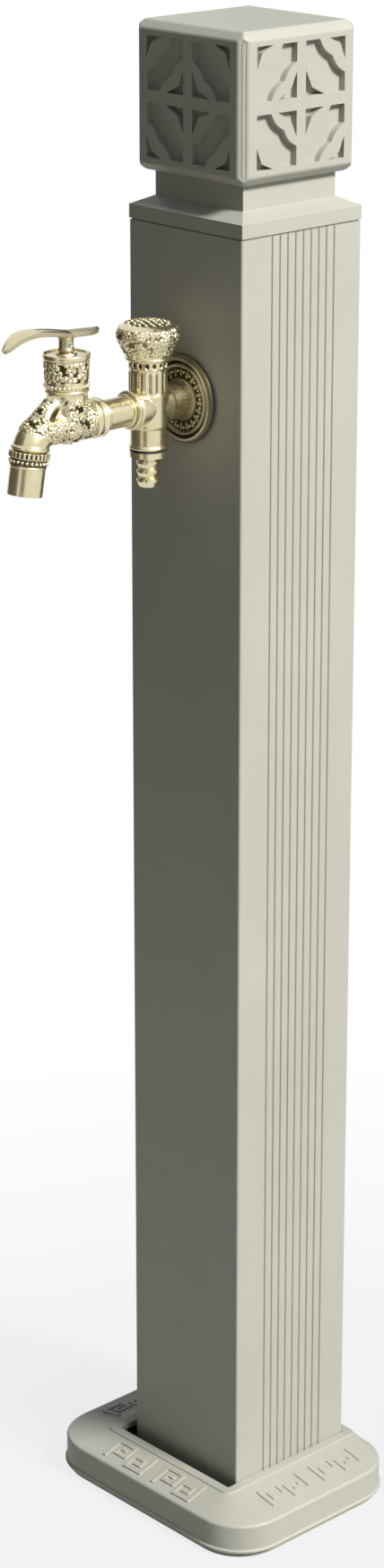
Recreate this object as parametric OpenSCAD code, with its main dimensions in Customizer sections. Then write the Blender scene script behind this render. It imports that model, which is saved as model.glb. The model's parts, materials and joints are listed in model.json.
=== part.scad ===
// Garden standpipe: a fluted square aluminium post on a ground plate, with a lattice cap block,
// a loose base cover and a brass tap with two quarter-turn valves, a hose tail and a spout.
// Millimetres. The origin is on the post axis at ground level, +Z is up and the tap faces -Y.

/* [Post] */
// Outside width of the square post
post_w = 100; // [90:1:130]
// Wall thickness of the post
post_wall = 3; // [2.5:0.1:4]
// Length of the post
post_h = 862; // [780:1:1200]
// Outside corner radius of the post
post_corner_r = 1.5; // [0.5:0.1:2.5]
// Number of flutes on each side face
flute_count = 9; // [3:2:11]
// Distance from one flute to the next
flute_pitch = 6.5; // [5:0.1:7.5]
// Width of a flute
flute_w = 2.8; // [1.5:0.1:3.5]
// Depth of a flute
flute_depth = 1.2; // [0.4:0.1:1.6]

/* [Ground plate] */
// Thickness of the ground plate
plate_t = 6; // [4:0.5:10]
// How far the plate reaches past the post on the left and right
plate_side = 27; // [22:0.5:32]
// How far the plate reaches past the post at the front and back
plate_front = 4; // [2:0.5:6]
// Corner radius of the plate
plate_corner_r = 8; // [2:0.5:12]
// Distance from the post face to the anchor holes
anchor_out = 14; // [11:0.5:16]
// Distance between the anchor holes from front to back
anchor_pitch_y = 70; // [50:1:76]
// Diameter of the anchor holes
anchor_d = 11; // [8:0.5:13]
// Diameter of the opening for the supply pipe
pipe_opening_d = 60; // [45:1:70]
// Height of the square spigot that holds the post
spigot_h = 40; // [30:1:60]
// Wall thickness of the spigot and of the cap plug
spigot_wall = 4; // [3:0.5:5]
// Clearance on each side between the post and what is pushed into it
push_gap = 0.3; // [0.1:0.05:0.5]

/* [Base cover] */
// Clearance on each side between the cover and a post in its middle
cover_gap = 4; // [3:0.1:6]
// How far the loose cover has slid toward the front and the left
cover_slide = 3.7; // [0:0.1:3.8]
// Width of the cover at the left and right of its opening
cover_side = 42; // [36:0.5:50]
// Width of the cover in front of its opening
cover_front = 31; // [29:0.5:40]
// Width of the cover behind its opening
cover_heel = 13.5; // [11.5:0.5:30]
// Corner radius of the cover
cover_corner_r = 34; // [20:1:40]
// Height of the upright side of the cover
cover_side_h = 24; // [20:0.5:28]
// Height of the rim round the opening
cover_rim_h = 31.5; // [31:0.5:40]
// Width of the flat rim
cover_rim_w = 7; // [5:0.5:8]
// Step from the rim down to the slope
cover_rim_step = 1; // [0.5:0.1:1.5]
// Corner radius of the rim
cover_rim_r = 6; // [2:0.5:10]
// Wall thickness of the cover
cover_wall = 3; // [2:0.1:4]
// Height of the set-back foot
cover_foot_h = 4; // [2:0.5:5]
// How far the foot is set back
cover_foot_in = 2; // [0.5:0.1:2.5]
// Thickness of the thin ledge over the foot
cover_ledge_h = 2; // [1:0.1:3]
// How far the ledge stands out
cover_ledge_out = 1.2; // [0.4:0.1:2]
// Stroke width of the raised key pattern
fret_stroke = 2.5; // [1.6:0.1:2.6]
// Height of the raised key pattern
fret_h = 0.9; // [0.4:0.1:1.4]
// Distance between the middles of the two key patterns on a side
fret_pitch = 48; // [44:1:54]

/* [Cap] */
// Height of the upright collar band
band_h = 9.5; // [7:0.5:14]
// Height of the dark joint under the band
joint_h = 1; // [0.5:0.1:1.5]
// Depth of the dark joint
joint_in = 1.2; // [0.5:0.1:1.5]
// Height of the sloped shoulder
shoulder_h = 5.5; // [3:0.5:10]
// Width of the neck
neck_w = 77; // [70:1:84]
// Height of the neck
neck_h = 15.5; // [14:0.5:24]
// Depth of the plug inside the post
plug_h = 16; // [14:1:30]
// Thickness of the neck's top plate
neck_plate_t = 4.5; // [3:0.5:6]
// Wall thickness of the neck
neck_wall = 5; // [4:0.5:7]
// Width of the cap block
block_w = 95.5; // [88:0.5:100]
// Height of the cap block
block_h = 90.5; // [88:0.5:110]
// Chamfer on the edges of the block
block_chamfer = 5; // [3:0.5:6]
// Width of the hollow in the block
block_hollow_w = 68; // [60:1:70]
// Thickness of the block's top
block_top_t = 9; // [7:0.5:12]
// Depth of the lattice recesses
lattice_depth = 3; // [1.5:0.1:3.5]
// Half width of the square that holds the lattice
lattice_half = 36.3; // [34:0.1:37]
// Width of the lattice's cross bars
cross_bar_w = 7.5; // [6:0.1:8]
// Leg of the small recess at the middle of the face
inner_leg = 15.2; // [12:0.1:15.5]
// Leg of the bracket round the small recess
inner_bracket_leg = 21; // [19:0.1:21.5]
// Leg of the small recess at the corner of the face
outer_leg = 13.2; // [10:0.1:13.5]
// Leg of the bracket at the corner of the face
outer_bracket_leg = 21.2; // [19:0.1:21.5]
// Swell of a bracket's two lobes
bracket_swell = 1.1; // [0.5:0.1:1.3]
// Depth of the notch in a small recess
bracket_notch = 2.6; // [1:0.1:3]
// Radius of the boss for the cap bolt
boss_r = 9; // [7:0.5:12]

/* [Screws] */
// Shank radius of the post and cap screws
screw_r = 2; // [1.5:0.1:2.5]
// Head radius of the post and cap screws
screw_head_r = 4; // [3:0.1:4.5]
// Head height of the post and cap screws
screw_head_h = 2.4; // [1.5:0.1:2.6]
// Length of the post and cap screws under the head
screw_len = 10; // [8.5:0.1:12]
// Height of the post screws over the plate
post_screw_up = 13; // [10:0.5:16]
// Distance of the screws from the middle of the post
screw_off = 28; // [15:0.5:34]
// Distance of the cap screws below the post's top
cap_screw_down = 8; // [6:0.5:9]
// Shank radius of the cap bolt
bolt_r = 3; // [2:0.1:4]
// Depth of the cap bolt in its boss
bolt_depth = 18; // [10:0.5:30]
// Head height of the cap bolt
bolt_head_h = 4; // [3:0.1:6]
// Width across the flats of the cap bolt's head
bolt_flats = 10; // [9:0.5:14]

/* [Supply] */
// Height of the tap's axis above the ground
tap_z = 765; // [600:1:770]
// Radius of the tap's threaded shank
shank_r = 10.4; // [9.5:0.1:11]
// How far the shank reaches inward from the post's face
shank_in = 26; // [24:0.5:32]
// Clearance of the shank in the post's hole
shank_gap = 0.6; // [0.3:0.1:1]
// Radial clearance in a screwed joint
thread_gap = 0.1; // [0.05:0.01:0.2]
// Thickness of the lock washer
lock_washer_t = 2; // [1:0.1:3]
// Thickness of the lock nut
lock_nut_t = 7; // [5:0.5:9]
// Width across the flats of the lock nut and the union nut
nut_flats = 30; // [27:0.5:34]
// Distance from the post's middle to the riser, toward the tap
riser_y = 6; // [2:0.5:10]
// Outside radius of the riser pipe
riser_r = 10; // [8:0.1:10.5]
// Wall thickness of the riser pipe
riser_wall = 2; // [1.5:0.1:3]
// Wall thickness round the pipe sockets
socket_wall = 3.4; // [2.5:0.1:5]
// Depth of the pipe sockets
socket_depth = 16; // [12:0.5:20]
// Height of the supply connection above the ground
inlet_z = 38; // [30:0.5:60]
// Radius of the supply thread
inlet_thread_r = 9.3; // [8.9:0.1:10.5]
// Depth of the supply thread
inlet_thread_len = 14; // [10:0.5:18]
// Relief behind the supply thread
thread_relief = 0.6; // [0.3:0.1:1]
// Thickness of the union nut's lip
union_lip_t = 3; // [2:0.1:4]
// Thickness of the supply washer
inlet_washer_t = 2; // [1:0.1:3]
// Thickness of the inlet tail's flange
inlet_flange_t = 3; // [2:0.1:4]

/* [Tap body] */
// Thickness of the gasket behind the flange
gasket_t = 1.5; // [1:0.1:2.5]
// Radius of the flange
flange_r = 27.5; // [25:0.5:32]
// Thickness of the flange
flange_t = 3.4; // [2.5:0.1:5]
// Radius of the rings on the flange
flange_ring_r = 1.5; // [1:0.1:1.8]
// Number of beads on the flange
flange_beads = 20; // [12:1:22]
// Distance from the post's face to the hand wheel's axis
wheel_out = 30; // [29:0.5:36]
// Height of the first valve body over the tap's axis
wheel_body_up = 13; // [12:0.5:18]
// Depth of the first valve body under the tap's axis
wheel_body_down = 26; // [26:0.5:32]
// Radius of the valve cartridges at their thread
cartridge_r = 10.1; // [9.5:0.1:11]
// Wall thickness of the valve bodies
barrel_wall = 2.1; // [1.8:0.1:3]
// Radius of the neck between the flange and the first valve
inlet_neck_r = 11; // [10.6:0.1:12]
// Radius of the water gallery
gallery_r = 6; // [5:0.1:6.3]
// Section radius of the mouldings round the tap's bodies
moulding_r = 1; // [0.6:0.1:1.2]
// Thread radius of the arm and the hose tail
arm_thread_r = 7.6; // [7.3:0.1:8.2]
// Thread length of the arm
arm_thread_len = 5.4; // [4:0.1:7]
// Thickness of the arm's seals
arm_seal_t = 1; // [0.6:0.1:1.5]
// Radius of the arm
arm_r = 9.3; // [8.8:0.1:10.5]
// Visible length of the arm
arm_len = 22.5; // [18:0.5:45]
// Radius of the sockets that hold the arm
arm_socket_r = 11.2; // [10.5:0.1:11.4]

/* [Valves] */
// Radius of the spindles
spindle_r = 4; // [3.5:0.1:4.4]
// Running clearance of a spindle
spindle_gap = 0.05; // [0.02:0.01:0.08]
// Clearance between faces that turn on each other
face_gap = 0.05; // [0.02:0.01:0.1]
// Section radius of the spindle O-rings
oring_r = 0.8; // [0.6:0.05:1]
// Wall thickness of the cartridge's lower sleeve
sleeve_wall = 1.1; // [0.8:0.1:1.5]
// Width of the water way round the lower sleeve
water_gap = 1.4; // [1:0.1:1.8]
// Clearance round the ceramic discs
disc_gap = 0.3; // [0.25:0.01:0.4]
// Thickness of a ceramic disc
disc_t = 3; // [2:0.1:3.2]
// Thickness of the seat seals
seat_seal_t = 2; // [1.5:0.1:2.2]
// Thickness of the foot on a spindle
foot_t = 2.5; // [2:0.1:2.6]
// Radius of the port under a seat
port_r = 4.5; // [3.5:0.1:4.8]
// Depth of the first valve's seat under the tap's axis
wheel_seat_down = 15; // [14.5:0.1:16]
// Radius of the water windows in the first cartridge
wheel_window_r = 3; // [2:0.1:3.2]
// Radius of the water windows in the second cartridge
lever_window_r = 2.2; // [1.5:0.1:2.4]
// Depth of the hollow that holds a bonnet seal
bonnet_seal_t = 1; // [0.6:0.1:1.4]
// Height of the first bonnet
wheel_bonnet_h = 18.5; // [14:0.5:24]
// Height of the second bonnet
lever_bonnet_h = 21; // [17:0.5:28]
// Radius at the second bonnet's top rim
lever_bonnet_r = 14.2; // [13.6:0.1:16]
// Radius of the beads on the second bonnet
bonnet_bead_r = 1.1; // [0.8:0.1:1.3]
// Number of beads on the second bonnet
bonnet_beads = 30; // [16:1:32]

/* [Hand wheel] */
// Clearance between a handle and the bonnet under it
handle_gap = 0.5; // [0.3:0.1:1]
// Largest radius of the hand wheel
wheel_r = 20; // [18:0.5:24]
// Radius of the hand wheel's skirt at the bottom
wheel_skirt_r = 13; // [12:0.1:14]
// Height of the hand wheel's rim
wheel_h = 13; // [12:0.5:16]
// Number of petals on the hand wheel
wheel_petals = 10; // [8:1:14]
// Depth of the grooves between the petals
petal_groove_r = 2; // [1.5:0.1:2.2]
// Height of the crown over the rim
crown_h = 8; // [5:0.5:8]
// Radius of the crown's beads
crown_bead_r = 1.7; // [1.2:0.1:1.8]
// Wheel screw's shank radius
wheel_screw_r = 1.5; // [1:0.1:1.8]

/* [Lever] */
// Distance from the arm's end to the lever's axis
lever_back = 25; // [24:0.5:30]
// Height of the second valve body over the tap's axis
lever_body_up = 22; // [21.5:0.5:26]
// Radius of the lever's stem
stem_r = 5; // [4.2:0.1:6]
// Height of the stem under the lever
stem_h = 9; // [7:0.5:14]
// Length of the lever's long arm
lever_long = 48.5; // [40:0.5:60]
// Length of the lever's short arm
lever_short = 25; // [20:0.5:27.5]
// Greatest width of the lever
lever_w = 12; // [10:0.5:16]
// Thickness of the lever
lever_t = 4; // [3:0.1:6]
// How far the long arm's straight line rises to its tip
lever_lift = 14.2; // [6:0.2:16]
// How far the long arm's tip curls down from that line
lever_droop = 15.8; // [8:0.2:18]
// How far the short arm's tip sinks
lever_sink = 2.2; // [0:0.1:4]
// Radius of the set screw
set_screw_r = 1.5; // [1:0.1:1.8]

/* [Spout] */
// Length of the spout from the lever's axis to its bend
spout_straight = 15.5; // [15:0.5:24]
// Outside radius of the spout
spout_r = 10.5; // [10:0.1:11.5]
// Radius of the spout's bend
bend_r = 14; // [13:0.5:20]
// Angle of the spout's bend
bend_angle = 80; // [70:1:88]
// Radius of the bore in the spout
spout_bore_r = 6.5; // [5.5:0.1:7]
// Drop of the outlet port under the tap's axis
outlet_drop = 5; // [4.9:0.1:5.2]
// Radius of the outlet port
outlet_r = 3.6; // [3:0.1:3.7]
// Thread radius of the spout
spout_thread_r = 8.5; // [8:0.1:8.8]
// Thread length of the spout
spout_thread_len = 7; // [5:0.5:9]
// Section radius of the lip at the spout's end
spout_lip_r = 1.2; // [0.8:0.1:1.5]
// Outside radius of the nozzle
nozzle_r = 10.6; // [10.5:0.1:12]
// Length of the nozzle under its ring
nozzle_len = 18; // [14:0.5:30]
// Wall thickness of the nozzle's neck
nozzle_wall = 0.9; // [0.7:0.1:1]
// Number of grooves on the knurled ring
knurl_count = 24; // [16:1:30]
// Thickness of the nozzle's washer
nozzle_washer_t = 2; // [1:0.1:3]
// Length of the aerator
aerator_len = 9; // [6:0.5:10]

/* [Hose tail] */
// Radius of the tail's collar
tail_collar_r = 11.7; // [10.5:0.1:13]
// Thickness of the tail's collar
tail_collar_t = 3.6; // [2.5:0.1:5]
// Thread length of the tail
tail_thread_len = 7; // [5:0.5:8]
// Thickness of the tail's washer
tail_washer_t = 1; // [0.6:0.1:1.5]
// Radius at the barbs' crests
barb_r = 7.3; // [6.2:0.05:8]
// Radius between the barbs
barb_root_r = 5.9; // [5.2:0.1:6]
// Number of barbs
barb_count = 3; // [2:1:5]
// Length of one barb
barb_pitch = 5.6; // [4:0.1:8]
// Length of the round land on a barb
barb_land = 1.6; // [1:0.1:2]
// Length of the smooth neck over the barbs
tail_neck = 2; // [2:0.5:8]
// Bore of the tail
tail_bore_r = 4; // [3:0.1:4.4]

/* [Hidden] */
$fn = 64;

// Colours of the finishes
coat = "#a8a599";
brass = "#d8c58a";
plain_brass = "#b99a55";
steel = "#b8bcc0";
rubber = "#2b2b2b";
ceramic = "#e6e2da";
plastic = "#e9ebe6";

// Length by which a cut passes the face that it opens
cut = 1;

// Levels of the post and the cap
post_z0 = plate_t;
post_z1 = post_z0 + post_h;
band_z1 = post_z1 + band_h;
neck_z0 = band_z1 + shoulder_h;
neck_z1 = neck_z0 + neck_h;
block_z1 = neck_z1 + block_h;
post_in_w = post_w - 2 * post_wall;
spigot_w = post_in_w - 2 * push_gap;
spigot_in_w = spigot_w - 2 * spigot_wall;
plate_x = post_w + 2 * plate_side;
plate_y = post_w + 2 * plate_front;
anchor_pitch_x = post_w + 2 * anchor_out;

// Outlines of the base cover
opening_w = post_w + 2 * cover_gap;
cover_x = opening_w + 2 * cover_side;
cover_y = opening_w + cover_front + cover_heel;
slope_z1 = cover_rim_h - cover_rim_step;
rim_out_w = opening_w + 2 * cover_rim_w;

// Distances outward from the post's face along the tap's axis
flange_out = gasket_t + flange_t;
chamber_r = cartridge_r + thread_gap;
barrel_r = chamber_r + barrel_wall;
socket_web = 0.8;
moulding_in = 1.4 * moulding_r;
socket_out = wheel_out + chamber_r + socket_web + arm_seal_t + arm_thread_len;
arm_end_out = socket_out + arm_len;
lever_out = arm_end_out + lever_back;
bend_out = lever_out + spout_straight;
spout_lip_up = 1.4 * spout_lip_r;

// Sizes that both cartridges share
sleeve_r = cartridge_r - water_gap;
sleeve_in_r = sleeve_r - sleeve_wall;
fixed_disc_r = sleeve_in_r - disc_gap / 2;
moving_disc_r = sleeve_in_r - disc_gap;
foot_in = 0.9;
foot_r = moving_disc_r - foot_in;
disc_z = seat_seal_t + disc_t + face_gap;
foot_z = disc_z + disc_t;
foot_top = foot_z + foot_t;
window_gap = 0.8;
ceiling_gap = 0.8;
spindle_bore_r = spindle_r + spindle_gap;
groove_half = oring_r + 0.1;
seal_r0 = cartridge_r + 2 * thread_gap;
seal_r1 = barrel_r - barrel_wall / 2;

// Levels of the two valves, measured from their seats
wheel_seat_z = tap_z - wheel_seat_down;
wheel_window = wheel_seat_down;
wheel_ceiling = wheel_window + wheel_window_r + ceiling_gap;
wheel_body_top = wheel_seat_down + wheel_body_up;
lever_seat_z = tap_z;
lever_window = foot_top + window_gap + lever_window_r;
lever_ceiling = lever_window + lever_window_r + ceiling_gap;
lever_body_top = lever_body_up;
wheel_bonnet_top = wheel_body_top + wheel_bonnet_h;
lever_bonnet_top = lever_body_top + lever_bonnet_h;

// The hand wheel, measured from the top of its bonnet
wheel_z0 = wheel_seat_z + wheel_bonnet_top + handle_gap;
hub_up = 1;
hub_down = 4;
hub_h = wheel_h - hub_down;
hub_wall = 2.4;
hub_r = spindle_r + hub_wall;
pin_in = 0.8;
pin_r = spindle_r - pin_in;
rim_w = 3.4;
crown_r = wheel_r - rim_w;
crown_sink = 2;
screw_head_t = 2;
screw_pocket_in = 0.6;
screw_pocket_r = hub_r - screw_pocket_in;

// The nozzle, measured down from the spout's end
nozzle_gap = 0.4;
ring_over = 1;
ring_h = spout_thread_len + nozzle_gap + ring_over;
nozzle_in_r = spout_thread_r + thread_gap;
neck_out_r = nozzle_in_r + nozzle_wall;
nozzle_end = ring_h + nozzle_len;
shoulder_t = 2;
aerator_over = 0.2;
aerator_r = nozzle_in_r + aerator_over;

// Small shapes that several parts use

module rounded_rect(w, d, r) {
    square([w - 2 * r, d], center = true);
    square([w, d - 2 * r], center = true);
    for (sx = [-1, 1], sy = [-1, 1])
        translate([sx * (w / 2 - r), sy * (d / 2 - r)]) circle(r);
}

module chamfered_rect(w, h, c)
    polygon([
        [-w / 2 + c, -h / 2], [w / 2 - c, -h / 2], [w / 2, -h / 2 + c], [w / 2, h / 2 - c],
        [w / 2 - c, h / 2], [-w / 2 + c, h / 2], [-w / 2, h / 2 - c], [-w / 2, -h / 2 + c]
    ]);

module square_prism(w, z0, z1)
    translate([-w / 2, -w / 2, z0]) cube([w, w, z1 - z0]);

// A solid with a square section whose half width follows a profile of [half width, height] points
module square_turned(profile, reach) {
    last = len(profile) - 1;
    outline = concat(profile, [for (i = [last:-1:0]) [-profile[i][0], profile[i][1]]]);
    intersection() {
        rotate([90, 0, 0]) linear_extrude(height = reach, center = true) polygon(outline);
        rotate([90, 0, 90]) linear_extrude(height = reach, center = true) polygon(outline);
    }
}

module turned(profile) rotate_extrude() polygon(profile);

module rod(r, z0, z1) translate([0, 0, z0]) cylinder(r = r, h = z1 - z0);

// A rod from one level to another, with a half round end past the second
module domed_rod(r, z0, z1)
    rotate_extrude() {
        translate([0, min(z0, z1)]) square([r, abs(z1 - z0)]);
        translate([0, z1]) intersection() {
            circle(r);
            translate([0, -r]) square([r, 2 * r]);
        }
    }

module pipe(r_out, r_in, z0, z1)
    difference() {
        rod(r_out, z0, z1);
        rod(r_in, z0 - cut, z1 + cut);
    }

module ring(r, section_r) rotate_extrude() translate([r, 0]) circle(section_r, $fn = 24);

module bead_ring(count, r, bead_r)
    for (i = [0:count - 1]) rotate([0, 0, i * 360 / count]) translate([r, 0, 0]) sphere(bead_r, $fn = 24);

module hexagon(flats, z0, z1) translate([0, 0, z0]) cylinder(r = flats / sqrt(3), h = z1 - z0, $fn = 6);

module pan_screw(r, head_r, head_h, length) {
    slot_w = r / 2;
    slot_reach = head_r * 0.55;
    crown_reach = head_r * 0.7;
    difference() {
        union() {
            rod(r, -length, head_h / 2);
            rotate_extrude()
                polygon([[0, 0], [head_r, 0], [head_r, head_h / 2], [crown_reach, head_h], [0, head_h]]);
        }
        for (turn = [0, 90])
            rotate([0, 0, turn])
                translate([-slot_reach, -slot_w / 2, head_h / 2]) cube([2 * slot_reach, slot_w, head_h]);
    }
}

// Places along the tap: local +Z points outward from the post's face
module along_tap(out = 0) translate([0, -post_w / 2 - out, tap_z]) rotate([90, 0, 0]) children();

// Places on the valve axes: local +Z points up from the valve's seat
module on_wheel_axis(up = 0) translate([0, -post_w / 2 - wheel_out, wheel_seat_z + up]) children();

module on_lever_axis(up = 0) translate([0, -post_w / 2 - lever_out, lever_seat_z + up]) children();

// The end of the spout: local -Z is the way that the water runs
module at_spout_end()
    translate([
        0,
        -post_w / 2 - bend_out - bend_r * sin(bend_angle),
        tap_z - bend_r + bend_r * cos(bend_angle)
    ])
        rotate([bend_angle - 90, 0, 0]) children();

// Places of the screws: local +Z points out of the wall
module at_post_screws()
    for (side = [-1, 1], sx = [-1, 1])
        translate([sx * screw_off, side * post_w / 2, post_z0 + post_screw_up])
            rotate([-side * 90, 0, 0]) children();

module at_cap_screws()
    for (sx = [-1, 1])
        translate([sx * screw_off, post_w / 2, post_z1 - cap_screw_down]) rotate([-90, 0, 0]) children();

// Column

module ground_plate()
    color(steel) difference() {
        union() {
            linear_extrude(plate_t) rounded_rect(plate_x, plate_y, plate_corner_r);
            square_prism(spigot_w, plate_t / 2, plate_t + spigot_h);
        }
        square_prism(spigot_in_w, plate_t, plate_t + spigot_h + cut);
        rod(pipe_opening_d / 2, -cut, plate_t + cut);
        for (sx = [-1, 1], sy = [-1, 1])
            translate([sx * anchor_pitch_x / 2, sy * anchor_pitch_y / 2, 0])
                rod(anchor_d / 2, -cut, plate_t + cut);
        at_post_screws() rod(screw_r + thread_gap, -screw_len - cut, 0);
    }

module post_screws() color(steel) at_post_screws() pan_screw(screw_r, screw_head_r, screw_head_h, screw_len);

module post()
    color(coat) difference() {
        translate([0, 0, post_z0]) linear_extrude(post_h) difference() {
            rounded_rect(post_w, post_w, post_corner_r);
            square(post_in_w, center = true);
            for (side = [-1, 1], i = [0:flute_count - 1])
                translate([side * post_w / 2, (i - (flute_count - 1) / 2) * flute_pitch])
                    square([2 * flute_depth, flute_w], center = true);
        }
        along_tap() rod(shank_r + shank_gap, -post_wall - cut, cut);
        at_post_screws() rod(screw_r + thread_gap, -post_wall - cut, cut);
        at_cap_screws() rod(screw_r + thread_gap, -post_wall - cut, cut);
    }

// Outline of the cover, drawn in by a distance
module cover_outline(inset)
    translate([0, (cover_heel - cover_front) / 2])
        rounded_rect(cover_x - 2 * inset, cover_y - 2 * inset, cover_corner_r - inset);

module cover_rim(inset) rounded_rect(rim_out_w - 2 * inset, rim_out_w - 2 * inset, cover_rim_r - inset);

// Slope from the cover's side up to its rim
module cover_slope(inset, z0, z1) {
    skin = 0.01;
    hull() {
        translate([0, 0, z0]) linear_extrude(skin) cover_outline(inset, $fn = 48);
        translate([0, 0, z1 - skin]) linear_extrude(skin) cover_rim(inset / 2, $fn = 48);
    }
}

// A square spiral of strokes, each pair of legs two strokes shorter than the last
fret_legs = 6;
function fret_leg(i) = fret_legs - 2 * floor(i / 2);
function fret_dir(i) = [[0, 1], [1, 0], [0, -1], [-1, 0]][i % 4];
function fret_point(i) = i == 0 ? [0, 0] : fret_point(i - 1) + fret_leg(i - 1) * fret_dir(i - 1);

module fret_hook() {
    stroke = 1;
    for (i = [0:fret_legs - 1]) {
        a = fret_point(i);
        b = fret_point(i + 1);
        translate([min(a[0], b[0]) - stroke / 2, min(a[1], b[1]) - stroke / 2])
            square([abs(a[0] - b[0]) + stroke, abs(a[1] - b[1]) + stroke]);
    }
}

// Two hooks, one turned half way round, centred on the origin
module fret_pair()
    scale(fret_stroke)
        for (turn = [0, 180])
            rotate(turn) translate([-fret_legs - 1, -fret_legs / 2]) fret_hook();

// The raised patterns of one side of the cover, on a slope of a given run
module fret_side(run) {
    drop = slope_z1 - cover_side_h;
    translate([0, -rim_out_w / 2 - run / 2, (slope_z1 + cover_side_h) / 2])
        rotate([atan(drop / run), 0, 0])
            for (s = [-1, 1])
                translate([s * fret_pitch / 2, 0, -fret_h]) linear_extrude(2 * fret_h) fret_pair();
}

module base_cover()
    color(coat) translate([-cover_slide, -cover_slide, 0]) difference() {
        union() {
            linear_extrude(cover_foot_h + cut) cover_outline(cover_foot_in);
            translate([0, 0, cover_foot_h]) linear_extrude(cover_ledge_h) cover_outline(-cover_ledge_out);
            translate([0, 0, cover_foot_h]) linear_extrude(cover_side_h - cover_foot_h) cover_outline(0);
            cover_slope(0, cover_side_h, slope_z1);
            translate([0, 0, slope_z1 - cut]) linear_extrude(cover_rim_step + cut) cover_rim(0);
            fret_side(cover_front - cover_rim_w);
            for (turn = [90, -90])
                rotate([0, 0, turn]) fret_side(cover_side - cover_rim_w);
        }
        translate([0, 0, -cut])
            linear_extrude(cover_side_h - cover_wall + cut) cover_outline(cover_foot_in + cover_wall);
        cover_slope(cover_foot_in + cover_wall, cover_side_h - cover_wall, slope_z1 - cover_wall);
        square_prism(opening_w, -cut, cover_rim_h + cut);
    }

// Room in the plug for the lock nut, where a short post brings them together
nut_room_r = nut_flats / sqrt(3) + push_gap;

module cap_collar()
    color(coat) difference() {
        square_turned([
            [spigot_w / 2, post_z1 - plug_h], [spigot_w / 2, post_z1],
            [post_w / 2 - joint_in, post_z1], [post_w / 2 - joint_in, post_z1 + joint_h],
            [post_w / 2, post_z1 + joint_h], [post_w / 2, band_z1],
            [neck_w / 2, neck_z0], [neck_w / 2, neck_z1]
        ], post_w);
        square_prism(spigot_in_w, post_z1 - plug_h - cut, post_z1);
        square_prism(neck_w - 2 * neck_wall, post_z1 - cut, neck_z1 - neck_plate_t);
        rod(bolt_r + thread_gap, post_z1, neck_z1 + cut);
        at_cap_screws() rod(screw_r + thread_gap, -screw_len - cut, cut);
        along_tap(-post_wall) rod(nut_room_r, -lock_washer_t - lock_nut_t - push_gap, cut);
    }

module cap_screws() color(steel) at_cap_screws() pan_screw(screw_r, screw_head_r, screw_head_h, screw_len);

// Edge of a bracket across a corner: two lobes that meet in a notch
bracket_steps = 12;
function bracket_edge(leg, swell, notch) = [
    for (i = [0:bracket_steps])
        let (t = i / bracket_steps, push = swell * abs(sin(360 * t)) - notch * (1 - abs(2 * t - 1)))
            [leg * (1 - t) + push, leg * t + push]
];

module corner_piece(leg, swell, notch) polygon(concat([[0, 0]], bracket_edge(leg, swell, notch)));

// Recesses in one quarter of the lattice, with the middle of the face at the origin
module lattice_quarter() {
    side = lattice_half - cross_bar_w / 2;
    translate([cross_bar_w / 2, cross_bar_w / 2]) {
        difference() {
            square(side);
            corner_piece(inner_bracket_leg, bracket_swell, 0);
            translate([side, side]) rotate(180) corner_piece(outer_bracket_leg, bracket_swell, 0);
        }
        intersection() {
            square(side);
            union() {
                corner_piece(inner_leg, 0, bracket_notch);
                translate([side, side]) rotate(180) corner_piece(outer_leg, 0, bracket_notch);
            }
        }
    }
}

module lattice()
    for (mx = [0, 1], my = [0, 1])
        mirror([mx, 0]) mirror([0, my]) lattice_quarter();

module cap_block()
    color(coat) difference() {
        translate([0, 0, neck_z1 + block_h / 2]) difference() {
            intersection() {
                linear_extrude(height = block_h, center = true)
                    chamfered_rect(block_w, block_w, block_chamfer);
                intersection_for (turn = [0, 90])
                    rotate([90, 0, turn]) linear_extrude(height = block_w, center = true)
                        chamfered_rect(block_w, block_h, block_chamfer);
            }
            for (turn = [0:90:270])
                rotate([90, 0, turn])
                    translate([0, 0, block_w / 2 - lattice_depth])
                        linear_extrude(lattice_depth + cut) lattice();
        }
        difference() {
            square_prism(block_hollow_w, neck_z1 - cut, block_z1 - block_top_t);
            rod(boss_r, neck_z1, block_z1);
        }
        rod(bolt_r + thread_gap, neck_z1 - cut, neck_z1 + bolt_depth + cut);
    }

module cap_bolt()
    color(steel) union() {
        hexagon(bolt_flats, neck_z1 - neck_plate_t - bolt_head_h, neck_z1 - neck_plate_t);
        rod(bolt_r, neck_z1 - neck_plate_t - bolt_head_h / 2, neck_z1 + bolt_depth);
    }

// Supply inside the post

module on_riser() translate([0, -riser_y, 0]) children();

elbow_r = riser_r + socket_wall;
elbow_step = 0.5;
elbow_face_out = -post_wall - lock_washer_t - lock_nut_t - cut;
elbow_shoulder = 1;
elbow_drop = elbow_r + elbow_shoulder + socket_depth;
riser_z1 = tap_z - elbow_drop + socket_depth;
thread_top_z = inlet_z + inlet_thread_len;
flange_z0 = thread_top_z + inlet_washer_t;
lip_z0 = flange_z0 + inlet_flange_t;
lip_z1 = lip_z0 + union_lip_t;
tail_neck_in = 1.5;
tail_neck_r = inlet_thread_r - tail_neck_in;
tail_face_gap = 0.5;
tail_face_z = lip_z1 + tail_face_gap;
tail_web = 8;
riser_z0 = tail_face_z + tail_web;

module inlet_union_nut()
    color(plain_brass) on_riser() difference() {
        hexagon(nut_flats, inlet_z, lip_z1);
        rod(inlet_thread_r, inlet_z - cut, thread_top_z);
        rod(inlet_thread_r + thread_relief, thread_top_z, lip_z0);
        rod(tail_neck_r + thread_gap, inlet_z, lip_z1 + cut);
    }

module inlet_washer()
    color(rubber) on_riser() pipe(inlet_thread_r - 2 * thread_gap, gallery_r, thread_top_z, flange_z0);

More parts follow.
